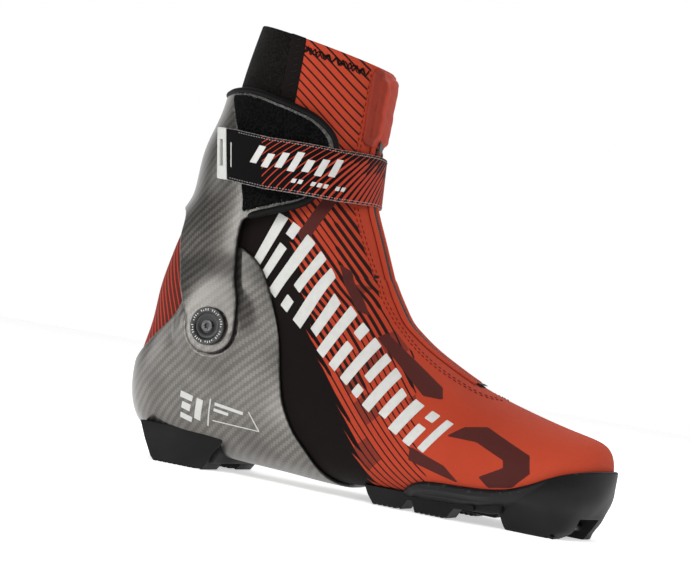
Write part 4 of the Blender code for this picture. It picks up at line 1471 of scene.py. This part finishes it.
def border_of(patch_piece):
    """Side-view places round a patch's rim."""
    mesh = patch_piece.data
    edge = np.empty(len(mesh.vertices))
    mesh.attributes["edge_mm"].data.foreach_get("value", edge)
    spots = np.empty(len(mesh.vertices) * 3)
    mesh.vertices.foreach_get("co", spots)
    spots = spots.reshape(-1, 3) / MM - SHIFT
    return spots[np.abs(edge) < 0.15][:, [0, 2]]


FIBRES = 700


def make_loop_patch():
    """Loop pile on the cuff's wing, with loose fibres round its edge."""
    whole, shell = side_field(LOOP_OUTLINE, -1), side_field(smooth_loop(CUFF_OUTLINE, 6))

    def field(a, b):
        return np.minimum(whole(a, b), shell(a, b) - RIM_WIDTH)

    rng = np.random.default_rng(11)

    def rough(spots, levels):
        spots = spots.copy()
        spots[:, 1] -= rng.random(len(spots)) * 0.3 * (levels > 6.7)
        return spots

    made = patch("loop_patch_pile", skin_frame, rows_between(18, 24, 0.9), np.linspace(0.08, 0.5, 240), field,
                 6.45, 7.6, edge=0.5, warp=rough, steps=2)
    settle(made, "loop_pile_black", "cuff", ("loop_patch",))

    outline = border_of(made)
    fibres = []
    for _ in range(FIBRES):
        x, z = outline[rng.integers(len(outline))]
        out = unit(np.array((x, z)) - np.array((98, 184.0)))
        x, z = np.array((x, z)) - out * rng.random() * 1.0
        hit = SKIN_TREE.ray_cast(Vector((x, -90, z)), Vector((0, 1, 0)))[0]
        if hit is None:
            continue
        base = np.array(hit) + np.array((0, -7.1, 0))
        turn = rng.normal(0, 0.9)
        way = np.array((out[0] * math.cos(turn) - out[1] * math.sin(turn), -0.35,
                        out[0] * math.sin(turn) + out[1] * math.cos(turn)))
        fibres.append((base, base + way * (0.8 + rng.random() * 1.3), np.array((0.0, -1.0, 0.0))))
    made = stitches("loop_patch_fray", fibres, 0.11)
    settle(made, "loop_fray", "cuff")


# Strap

STRAP_WAVE = np.array(((-110, 1.0), (0, 1.0), (37, -1.2), (84, -1.0), (104, 1.4), (125, 2.4)))


def strap_spot(angle, height):
    """A point of the strap's inner face; angle 0 is the front and a quarter turn the lateral side."""
    angle, height = np.broadcast_arrays(np.asarray(angle, float), np.asarray(height, float))
    forward, sideways = np.cos(angle), np.sin(angle)
    lean = (STRAP_TOP - height) / (STRAP_TOP - STRAP_BOTTOM)
    depth = np.where(forward > 0, 139.9 + 1.6 * lean - STRAP_CENTRE, 58.0)
    width = np.where(sideways > 0, 51.4, 50.0)
    fullness = np.where(sideways > 0, 2.2, 2.0)
    x = STRAP_CENTRE + np.sign(forward) * np.abs(forward) ** (2 / fullness) * depth
    y = -np.sign(sideways) * np.abs(sideways) ** (2 / fullness) * width
    rise = np.interp(np.degrees(angle), STRAP_WAVE[:, 0], STRAP_WAVE[:, 1])
    return np.stack([x, y, height + rise], -1)


def strap_frame(height, angle):
    """Points of the strap's inner face and its outward normals."""
    step = 0.004
    along = strap_spot(angle + step, height) - strap_spot(angle - step, height)
    rise = strap_spot(angle, height + 0.5) - strap_spot(angle, height - 0.5)
    normal = unit(np.cross(along, rise))
    spot = strap_spot(angle, height)
    outward = spot - np.array((STRAP_CENTRE, 0, 0))
    outward[..., 2] = 0
    facing = np.sign((normal * outward).sum(-1, keepdims=True))
    return spot, normal * np.where(facing == 0, 1, facing)


ANGLES = np.linspace(math.radians(-106), math.radians(120), 900)
ARC_LINE = strap_spot(ANGLES, 180.0)
ARC = travelled(ARC_LINE)
ARC = ARC - np.interp(0.0, ANGLES, ARC)


def arc_at(angle):
    """Length round the strap from its front."""
    return np.interp(angle, ANGLES, ARC)


def strap_uv(spots):
    """Length round the strap from its front, positive on the lateral side, and height above its middle."""
    ahead = spots[:, 0] - STRAP_CENTRE
    angle = np.arctan2(-spots[:, 1] / 50.7, ahead / np.where(ahead > 0, 53.7, 58))
    for _ in range(3):
        wanted = strap_spot(angle, 180.0)
        angle = angle + 0.5 * (np.arctan2(-spots[:, 1], ahead)
                               - np.arctan2(-wanted[:, 1], wanted[:, 0] - STRAP_CENTRE))
    return np.stack([arc_at(angle), spots[:, 2] - STRAP_MIDDLE, np.zeros(len(spots))], 1)


def strap_field(first, last, low, high, corner=2.0):
    """Depth inside a rectangle on the strap, between two angles in degrees and two heights."""
    start, end = arc_at(np.radians((first, last)))

    def field(a, b):
        arc = arc_at(b)
        return round_corner(np.minimum(arc - start, end - arc), np.minimum(a - low, high - a), corner)

    return field


# pale bars of the strap: arc start and end, height low and high
TALL_BARS = [(86.5 - 7.6 * i, 82.4 - 7.6 * i, (-1.6, -2.6)[i % 2], (9.0, 5.6, 7.4)[i % 3]) for i in range(7)]
SMALL_BARS = [(58.0 - 3.6 * i, 55.6 - 3.6 * i, -8.8, -6.4) for i in range(9) if i not in (2, 6)]
# arc of the tab's outer and inner ends at the strap's bottom, each with its lean towards the top
TAB_OUTER, OUTER_LEAN = 107.8, 0.227
TAB_INNER, INNER_LEAN = 100.4, 0.235


def strap_patch(name, heights, degrees, field, low, high, edge):
    """A patch on the strap; heights and angles each come with their number of lines."""
    angles = np.linspace(*np.radians(degrees[:2]), degrees[2])
    return patch(name, strap_frame, np.linspace(*heights), angles, field, low, high, edge=edge, uv=strap_uv)


def make_tab():
    """Slanted plastic loop at the strap's end, with a finger slot."""

    def field(a, b):
        arc = arc_at(b)
        rise = a - STRAP_BOTTOM
        outer, inner = TAB_OUTER + OUTER_LEAN * rise, TAB_INNER + INNER_LEAN * rise
        body = np.minimum(np.minimum(outer - arc, arc - inner), np.minimum(rise, STRAP_TOP - a))
        middle = (outer + inner) / 2 + 0.3
        slot = np.minimum(1.15 - np.abs(arc - middle), np.minimum(a - 173.6, 188.6 - a))
        return np.minimum(body, -slot)

    made = strap_patch("strap_tab", (STRAP_BOTTOM - 0.4, STRAP_TOP + 0.4, 100), (94, 123, 150), field,
                       -0.1, 2.0, 0.45)
    settle(made, "tab_pale_plastic", "strap", ("strap_pull_tab",))


def make_strap():
    """The band with its marks and edge stitching, its hook tape, tab and anchor plate."""
    first, last = -104.0, 105.0
    plain_end = strap_field(first, last + 14, STRAP_BOTTOM, STRAP_TOP)

    def slanted_end(a, b):
        end = TAB_INNER + 0.7 + INNER_LEAN * (a - STRAP_BOTTOM)
        return np.minimum(plain_end(a, b), end - arc_at(b))

    made = strap_patch("strap_band", (STRAP_BOTTOM - 0.2, STRAP_TOP + 0.2, 40), (first - 1, last + 9, 350),
                       slanted_end, 0.0, 1.5, 0.5)
    hinge_x = JOINTS["strap_open"]["pos_m"][0]
    crossing = ("cuff", "strap", (hinge_x, 0.004, 0.18), (hinge_x, -0.026, 0.18))
    settle(made, "strap_webbing", replaces=("strap_flap", "strap_base"), blend=crossing)

    shapes = [((99.3, -7.0), (98.7, -7.0), (101.6, 7.0), (102.2, 7.0))]
    for start, end, low, high in TALL_BARS + SMALL_BARS:
        shapes.append([(x - 0.42 * z, z) for x, z in ((start, low), (end, low), (end, high), (start, high))])

    def place(params):
        spots, normals = strap_frame(params[:, 1] + STRAP_MIDDLE, np.interp(params[:, 0], ARC, ANGLES))
        return spots + normals * 1.6, spots + normals * 1.3

    marks = decals("strap_marks", shapes, place, 0.4)
    settle(marks, "pale_print", "strap")

    rows = []
    for height in (STRAP_BOTTOM + 1.5, STRAP_TOP - 1.5):
        angles = np.linspace(math.radians(first + 2), math.radians(last - 2), 700)
        spots, normals = strap_frame(np.full(700, height), angles)
        rows += run_of_stitches(spots + normals * 1.5, normals, 1.15, 0.55, 0.05)
    made = stitches("strap_edge_stitches", rows, 0.2)
    settle(made, "thread_grey", blend=crossing)

    made = strap_patch("strap_hook_tape", (168.5, 193, 26), (71, 105, 46), strap_field(72, 104, 169, 192.5),
                       -0.9, -0.15, 0.3)
    settle(made, "hook_tape_black", "strap", ("hook_patch",))

    make_tab()

    made = strap_patch("strap_anchor_plate", (170, 191.5, 28), (-103, -88, 34),
                       strap_field(-101.5, -90, 171.5, 190, 3.0), 1.5, 2.9, 0.7)
    settle(made, "plastic_black", "cuff")


# Pivots

ROUND = np.linspace(0, TAU, 72, endpoint=False)


def lathe(name, profile, side, sharp):
    """A body round the pivot's axis; the profile lists radius and distance from the centre plane."""
    rings = []
    for radius, reach in profile:
        rings.append(np.stack([PIVOT[0] + np.cos(ROUND) * radius, np.full(len(ROUND), side * reach),
                               PIVOT[1] + np.sin(ROUND) * radius], 1))
    return sweep(name, rings, sharp=sharp)


DISC = 11.0
TICKS = 40


def make_pivots():
    """The dark disc, its printed ticks and the screw of each ankle pivot."""
    for label, side in SIDES:
        low, high = node_box(f"pivot_washer_{label}")
        inner, outer = sorted((abs(low[1]), abs(high[1])))
        profile = ((4.0, inner), (DISC - 0.4, inner), (DISC, inner + 0.4), (DISC, outer + 0.25),
                   (DISC - 0.4, outer + 0.65), (8.2, outer + 0.75), (7.5, outer + 0.5), (7.1, outer - 0.1),
                   (4.6, outer - 0.1), (4.3, outer - 0.3), (4.0, outer - 0.3))
        made = lathe(f"pivot_disc_{label}", profile, side, 35)
        settle(made, "disc_black", "boot", (f"pivot_washer_{label}",))

        ticks = []
        for k in range(TICKS):
            if k % 10 in (4, 9):
                continue
            angle = TAU * (k + 0.5) / TICKS
            way = np.array((math.cos(angle), 0, math.sin(angle)))
            centre = np.array((PIVOT[0], side * (outer + 0.62), PIVOT[1]))
            reach = 10.15 if k % 3 else 9.6
            ticks.append((centre + way * 8.45, centre + way * reach, np.array((0, side, 0.0))))
        made = stitches(f"pivot_ticks_{label}", ticks, 0.26)
        settle(made, "disc_print", "boot")

        low, high = node_box(f"pivot_screw_{label}")
        inner, top = sorted((abs(low[1]), abs(high[1])))
        lobed = 1.55 + 0.32 * np.cos(6 * ROUND)
        profile = ((2.0, inner), (2.0, outer - 0.5), (3.7, outer - 0.5), (3.7, top - 0.35), (3.3, top),
                   (lobed, top), (lobed * 0.93, top - 0.15), (lobed * 0.9, top - 1.4), (0.05, top - 1.5))
        made = lathe(f"pivot_bolt_{label}", profile, side, 30)
        settle(made, "bolt_dark_steel", "boot", (f"pivot_screw_{label}",))


# Sole

def prism(name, outline, low, high, radius, segments=2):
    """A side-view outline carried straight across the boot, with rounded edges."""
    shape = bmesh.new()
    near = [shape.verts.new((x, low, z)) for x, z in outline]
    far = [shape.verts.new((x, high, z)) for x, z in outline]
    shape.faces.new(near)
    shape.faces.new(far[::-1])
    for i in range(len(outline)):
        j = (i + 1) % len(outline)
        shape.faces.new((near[i], far[i], far[j], near[j]))
    bmesh.ops.recalc_face_normals(shape, faces=shape.faces)
    if radius:
        bmesh.ops.bevel(shape, geom=list(shape.edges), offset=radius, segments=segments, affect="EDGES",
                        profile=0.5, clamp_overlap=True)
    return from_bmesh(name, shape)


def serrated(start, end, low, high, pitch=3.0):
    """A saw edge along the bottom of a lug, from front to back."""
    made, x = [], start
    while x < end - pitch:
        made += [(x, low), (x + pitch * 0.62, low), (x + pitch * 0.78, high), (x + pitch * 0.94, high)]
        x += pitch
    return made + [(end, low)]


def make_sole():
    """Rubber parts under the foot: rand, slab, rib, treads, heel and toe block."""
    rand = side_field(smooth_loop(RAND_OUTLINE, 6))

    def rand_puff(depth, spot):
        rear = smoothstep(262, 240, spot[:, 0])
        return (0.75 * np.exp(-((depth - 2.2) / 1.1) ** 2) + np.where(depth > 5.2, 0.5, 0.0)) * rear

    made = patch("forefoot_rand", skin_frame, rows_between(0.02, 7.6, 1.4), np.linspace(0.0, 1.0, 400), rand,
                 0.1, 2.4, edge=0.9, wrap=True, puff=rand_puff, steps=4)
    settle(made, "rand_rubber", "boot")

    slab = ((180, 10.5), (183, 7.0), (230, 6.6), (252, 7.4), (258, 8.6), (258, 20), (230, 15))
    made = prism("forefoot_slab", slab, -31, 31, 1.6, 3)
    settle(made, "sole_rubber", "boot", ("forefoot_outsole",))
    made = prism("forefoot_rib", ((178, 9), (181, 3.6), (247, 3.6), (250, 9)), -4.4, 4.4, 0.9, 2)
    settle(made, "sole_rubber", "boot")

    teeth = (serrated(184.4, 201.2, 0.5, 1.6) + [(204.3, 6.4), (206.8, 6.4)]
             + serrated(209.6, 228.0, 0.4, 1.5)
             + [(231.6, 6.6), (243, 7.4), (243, 10.5), (177.5, 10.5), (180.5, 5.2)])
    for label, low, high in (("lateral", -33, -16), ("medial", 16, 33)):
        made = prism(f"tread_{label}", teeth, low, high, 0.3, 1)
        settle(made, "sole_rubber", "boot", (f"tread_pad_{label}",))

    lug = ([(30.5, 22), (35.2, 12), (41.0, 2.2)] + serrated(43.4, 75.2, 0.0, 1.3, 3.2)
           + [(77.6, 3.4), (80, 10), (85.5, 18), (85.5, 22)])
    for label, low, high in (("lateral", -33, -12.5), ("medial", 12.5, 33)):
        made = prism(f"heel_lug_{label}", lug, low, high, 0.45, 2)
        settle(made, "sole_rubber", "boot", ("heel_outsole",) if label == "lateral" else ())
    made = prism("heel_base", ((34, 17), (36, 14), (41, 5), (80, 4.2), (84, 12), (84, 17)), -30, 30, 1.4, 3)
    settle(made, "sole_rubber", "boot")

    make_toe_block()


# Plan of the toe block at rising heights: z, rear x, front x, lateral y, medial y, squareness and
# how far the front runs ahead towards the medial side.
TOE_BLOCK = np.array((
    (0.0, 259.8, 290.6, -23.0, 27.0, 5.5, 0.24), (0.7, 259.0, 291.8, -23.9, 27.9, 5.2, 0.24),
    (4.0, 257.0, 295.2, -24.4, 28.6, 5.0, 0.12), (9.0, 255.0, 298.0, -26.0, 31.0, 4.4, 0.13),
    (14.0, 253.0, 300.5, -29.0, 35.0, 3.2, 0.14), (19.0, 251.0, 304.2, -33.0, 40.5, 2.6, 0.08),
    (24.0, 250.0, 306.6, -36.0, 46.0, 2.2, 0.03), (28.0, 250.0, 307.4, -37.0, 48.0, 2.05, 0.0),
    (32.0, 250.0, 307.7, -37.0, 48.0, 2.0, 0.0), (35.0, 250.0, 307.7, -36.5, 47.5, 2.0, 0.0),
))

# x and z along the rand's lower line, which the block's top follows
RAND_LINE = ((250, 262, 272, 281, 288, 296, 306), (20.6, 22.6, 26.3, 31.0, 34.4, 37.2, 39.3))


def make_toe_block():
    """Moulded block under the toe, open to the front for the binding, with walls round the bar."""
    curve = natural_spline(TOE_BLOCK)
    rings = []
    turn = 272.0
    angles = np.linspace(-math.pi / 2, math.pi / 2, 61)
    out, ahead = np.sin(angles), np.cos(angles)
    for z, rear, front, near, far, full, ahead_share in curve(np.linspace(0, len(TOE_BLOCK) - 1, 46)):
        reach = (np.abs(out) ** full + np.abs(ahead) ** full) ** (-1 / full)
        middle, half = (near + far) / 2, (far - near) / 2
        across = middle + half * out * reach
        forward = (turn + (front - turn) * ahead * reach
                   + ahead_share * (across - 2) * np.clip(ahead * reach, 0, 1))
        arc = np.stack([forward, across, np.full(61, z)], 1)
        side = np.linspace(0, 1, 12)[1:, None]
        down = arc[-1] + (np.array((rear, far - 1.0, z)) - arc[-1]) * side
        back = down[-1] + (np.array((rear, near + 1.0, z)) - down[-1]) * np.linspace(0, 1, 30)[1:, None]
        up = back[-1] + (arc[0] - back[-1]) * side[:-1]
        ring = np.concatenate([arc, down, back, up])
        line = np.interp(ring[:, 0], *RAND_LINE)
        ring[:, 2] = np.where(ring[:, 2] > 14, 14 + (ring[:, 2] - 14) * (line - 14) / 21, ring[:, 2])
        rings.append(ring)
    made = sweep("toe_block", rings, sharp=35)
    hollow = ((257.0, -5), (257.0, 8.4), (262, 9.6), (283, 11), (296, 12.5), (320, 12.5), (320, -5))
    slot = prism("toe_slot", hollow, -12, 12, 0)
    cut = made.modifiers.new("slot", "BOOLEAN")
    cut.object = slot
    cut.operation = "DIFFERENCE"
    cut.solver = "EXACT"
    bpy.context.view_layer.update()
    shaped = bpy.data.meshes.new_from_object(made.evaluated_get(bpy.context.evaluated_depsgraph_get()))
    made.modifiers.clear()
    made.data = shaped
    shaped.set_sharp_from_angle(angle=math.radians(30))
    bpy.data.objects.remove(slot)
    settle(made, "sole_rubber", "boot")
    grips = []
    for k in range(7):
        x = 264.5 + 3.4 * k
        for near, far in ((-23.0, -12.4), (12.4, 26.0)):
            grips.append(rounded_plate("grip", (x, near, -0.0), (x + 2.1, far, 1.6), 0.35, segments=2))
    made = join_pieces("toe_block_grips", grips)
    settle(made, "sole_rubber", "boot")


# Inside

def make_ankle_pad(name, node, side):
    """An oval pad inside the ankle, the size of its foam."""
    low, high = node_box(node)
    centre, half = (low + high) / 2, (high - low) / 2

    def field(t, k):
        spot = skin(t, k)
        across = (spot[..., 0] - centre[0]) / half[0]
        up = (spot[..., 2] - centre[2]) / half[2]
        reach = (np.abs(across) ** 2.6 + np.abs(up) ** 2.6) ** (1 / 2.6)
        return np.where(spot[..., 1] * side > 0, (1 - reach) * min(half[0], half[2]), -5.0)

    made = patch(name, skin_frame, rows_between(8, 20, 2.6), np.linspace(0.1, 0.9, 130), field, -7.6, -2.9,
                 edge=1.6, steps=4)
    settle(made, "pad_cloth", "boot", (node,), padded=0.6)


def make_inside():
    """The padded pieces inside: ankle pads, tongue and insole."""
    for label, side in SIDES:
        make_ankle_pad(f"ankle_pad_{label}", f"ankle_foam_{label}", side)

    def tongue_field(a, b):
        spot = skin(a, b)
        return np.minimum(24.0 - np.abs(spot[..., 1]), np.minimum(227.0 - spot[..., 2], 5.0))

    made = patch("tongue_pad", skin_frame, ridge_rows(7.0, 23.2, 1.6), np.linspace(-0.18, 0.18, 61),
                 tongue_field, -7.4, -2.9, edge=1.8, steps=4)
    settle(made, "tongue_cloth", blend=BENDING, replaces=("tongue",), padded=0.4)

    low, high = node_box("insole")

    def sole_field(a, b):
        spot = skin(a, b)
        row = FAN(a)
        side = row[..., 5] * 0.86 - np.abs(spot[..., 1] - row[..., 4])
        return np.minimum(side, np.minimum(high[0] - spot[..., 0], spot[..., 0] - low[0]))

    made = patch("insole_pad", skin_frame, rows_between(1.5, 13.2, 2.4), np.linspace(0.3, 0.7, 90),
                 sole_field, -6.9, -3.7, edge=1.2)
    settle(made, "insole_cloth", "boot", ("insole",), padded=0.3)


KEPT_NODES = {
    "lasting_board": "board_fibre", "toe_puff": "puff_felt", "toe_bar": "toe_bar_steel",
    "pivot_nut_lateral": "toe_bar_steel", "pivot_nut_medial": "toe_bar_steel",
    "pivot_bushing_lateral": "plastic_black", "pivot_bushing_medial": "plastic_black",
}


def dress_nodes():
    """Gives the nodes that are shown as they are their materials."""
    for node, look in KEPT_NODES.items():
        found = bpy.data.objects[node]
        if not found.material_slots:
            found.data.materials.append(LOOKS[look])
        for slot in found.material_slots:
            slot.material = LOOKS[look]


# Seams and stitching

SEAM_STRIP = ((92.8, 262.5), (94.6, 254.8), (95.2, 240), (95.4, 216), (95.6, 196))


def make_seams():
    """Stitching of the front facing, the tape over the collar's seam and the zigzag of its hem."""
    for label, side in SIDES:
        rows = []
        line = smooth_path(FACING[:, 1:], 1.0) * (1, -side, 1)
        spots, normals = near_skin(line, 0.12)
        across = unit(np.cross(np.gradient(spots, axis=0), normals))
        for shift in (-1.25, 1.25):
            row, ups = near_skin(spots + across * shift, 0.12)
            rows += run_of_stitches(row, ups, 2.3, 1.1, 0.0)
        made = stitches(f"facing_stitches_{label}", rows, 0.3)
        settle(made, "thread_maroon", blend=BENDING)

        path = smooth_path(SEAM_STRIP, 2.0)
        field = side_field(strip_outline(path, 9.4), side)
        made = patch(f"seam_strip_{label}", skin_frame, rows_between(20.6, LAST - 0.02, 1.2),
                     np.linspace(0.1, 0.9, 420), field, -0.2, 0.75, edge=0.5, steps=2)
        settle(made, "seam_tape_cloth", "cuff")

        rows = []
        line = smooth_path([(x + 0.9, z) for x, z in SEAM_STRIP], 0.6)
        spots, normals = on_skin(line, side, 0.95)
        along = travelled(spots)
        for s in np.arange(2.0, along[-1] - 1, 3.8):
            spot, up = read_at(s, along, spots), unit(read_at(s, along, normals))
            rows.append((spot + np.array((-1.7, 0, -0.5)), spot + np.array((1.7, 0, 0.5)), up))
        made = stitches(f"seam_strip_ticks_{label}", rows, 0.22)
        settle(made, "thread_charcoal", "cuff")

        rows = []
        hem = [(x, 265.4 - 18.8 * (x - 55.8) / 82.0 - 6.4) for x in np.linspace(99.5, 133.5, 60)]
        spots, normals = on_skin(hem, side, 0.25)
        along = travelled(spots)
        for step, up_by, late in ((2.2, 2.3, 0.0), (2.75, 1.9, 0.9)):
            for k in range(int((along[-1] - late) / step)):
                ends = []
                for j in (k, k + 1):
                    spot = read_at(late + j * step, along, spots)
                    ends.append(spot + np.array((0, 0, up_by if j % 2 else -up_by)))
                up = unit(read_at(late + (k + 0.5) * step, along, normals))
                rows.append((ends[0], ends[1], up))
        made = stitches(f"hem_zigzag_{label}", rows, 0.42)
        settle(made, "thread_black", "cuff")


# Floor, light and camera

def make_stage():
    """White floor, a plain sky and four lamps."""
    shape = bmesh.new()
    bmesh.ops.create_grid(shape, x_segments=1, y_segments=1, size=3.0)
    mesh = bpy.data.meshes.new("floor")
    shape.to_mesh(mesh)
    shape.free()
    floor = bpy.data.objects.new("floor", mesh)
    bpy.context.scene.collection.objects.link(floor)
    floor.location.z = GROUND
    s = Shader("floor_paper")
    place = s.tree.nodes.new("ShaderNodeTexCoord").outputs["Object"]
    paper = s.mix(s.noise(30.0, 3, at=place), "f8f8f8", "ffffff")
    s.finish(paper, 0.9, Specular_IOR_Level=0.1, Emission_Color=paper, Emission_Strength=0.56)
    mesh.materials.append(s.material)

    world = bpy.data.worlds.new("studio")
    bpy.context.scene.world = world
    world.use_nodes = True
    back = world.node_tree.nodes["Background"]
    sky = Shader.__new__(Shader)
    sky.tree = world.node_tree
    way = sky.tree.nodes.new("ShaderNodeTexCoord").outputs["Generated"]
    _, forward, height = sky.split(way)
    dome = sky.mix(sky.ramp(height, 0.2, 0.6), (1, 1, 1, 1), (0.5, 0.5, 0.51, 1))
    front = sky.mix(sky.ramp(height, 0.1, 0.8), (0.03, 0.03, 0.031, 1), (0.38, 0.38, 0.39, 1))
    seen = sky.tree.nodes.new("ShaderNodeLightPath").outputs["Is Camera Ray"]
    lit = sky.mix(sky.ramp(forward, 0.05, 0.45), front, dome)
    sky.put(back.inputs["Color"], sky.mix(seen, lit, (1, 1, 1, 1)))
    back.inputs["Strength"].default_value = 1.0

    def lamp(name, spot, aim, size, power):
        light = bpy.data.lights.new(name, "AREA")
        light.shape = "RECTANGLE"
        light.size, light.size_y = size
        light.energy = power
        made = bpy.data.objects.new(name, light)
        bpy.context.scene.collection.objects.link(made)
        made.location = spot
        made.rotation_euler = (Vector(aim) - Vector(spot)).to_track_quat("-Z", "Y").to_euler()
        made.visible_glossy = name != "key"

    lamp("key", (0.1, -1.35, 1.2), (0, 0, 0.1), (1.0, 0.8), 21)
    lamp("strip", (-0.72, -1.1, 0.12), (-0.06, 0, 0.12), (0.2, 0.5), 3)
    lamp("rear", (-1.3, -0.35, 0.1), (-0.1, 0, 0.06), (0.5, 0.25), 1.2)
    lamp("back", (0.1, 1.3, 1.4), (0, 0, 0.1), (1.4, 0.9), 10)
    bpy.context.scene.view_settings.view_transform = "Standard"


def make_camera():
    """Camera low beside the toe, turned ten degrees about the boot's cross axis so that the boot looks tipped
    onto its toe.
    """
    turn, tilt, pitch, away = math.radians(23.0), math.radians(-5.5), math.radians(10.2), 1.1
    back = Vector((math.sin(turn) * math.cos(tilt), -math.cos(turn) * math.cos(tilt), math.sin(tilt)))
    right = Vector((math.cos(turn), math.sin(turn), 0))
    up = back.cross(right)
    tip = Matrix.Rotation(-pitch, 3, "Y")
    right, up, back = (tip @ v for v in (right, up, back))
    aim = Vector((-0.0255, 0, 0.1175))
    data = bpy.data.cameras.new("camera")
    data.sensor_width = 36.0
    data.lens = 98.0
    camera = bpy.data.objects.new("camera", data)
    bpy.context.scene.collection.objects.link(camera)
    place = Matrix((right, up, back)).transposed().to_4x4()
    place.translation = aim + back * away
    camera.matrix_world = place
    bpy.context.scene.camera = camera


for make_pieces in (make_upper, make_zip, make_garage, make_slider, make_shells, make_loop_patch, make_strap,
                    make_pivots, make_sole, make_inside, make_seams, dress_nodes, make_stage, make_camera):
    make_pieces()
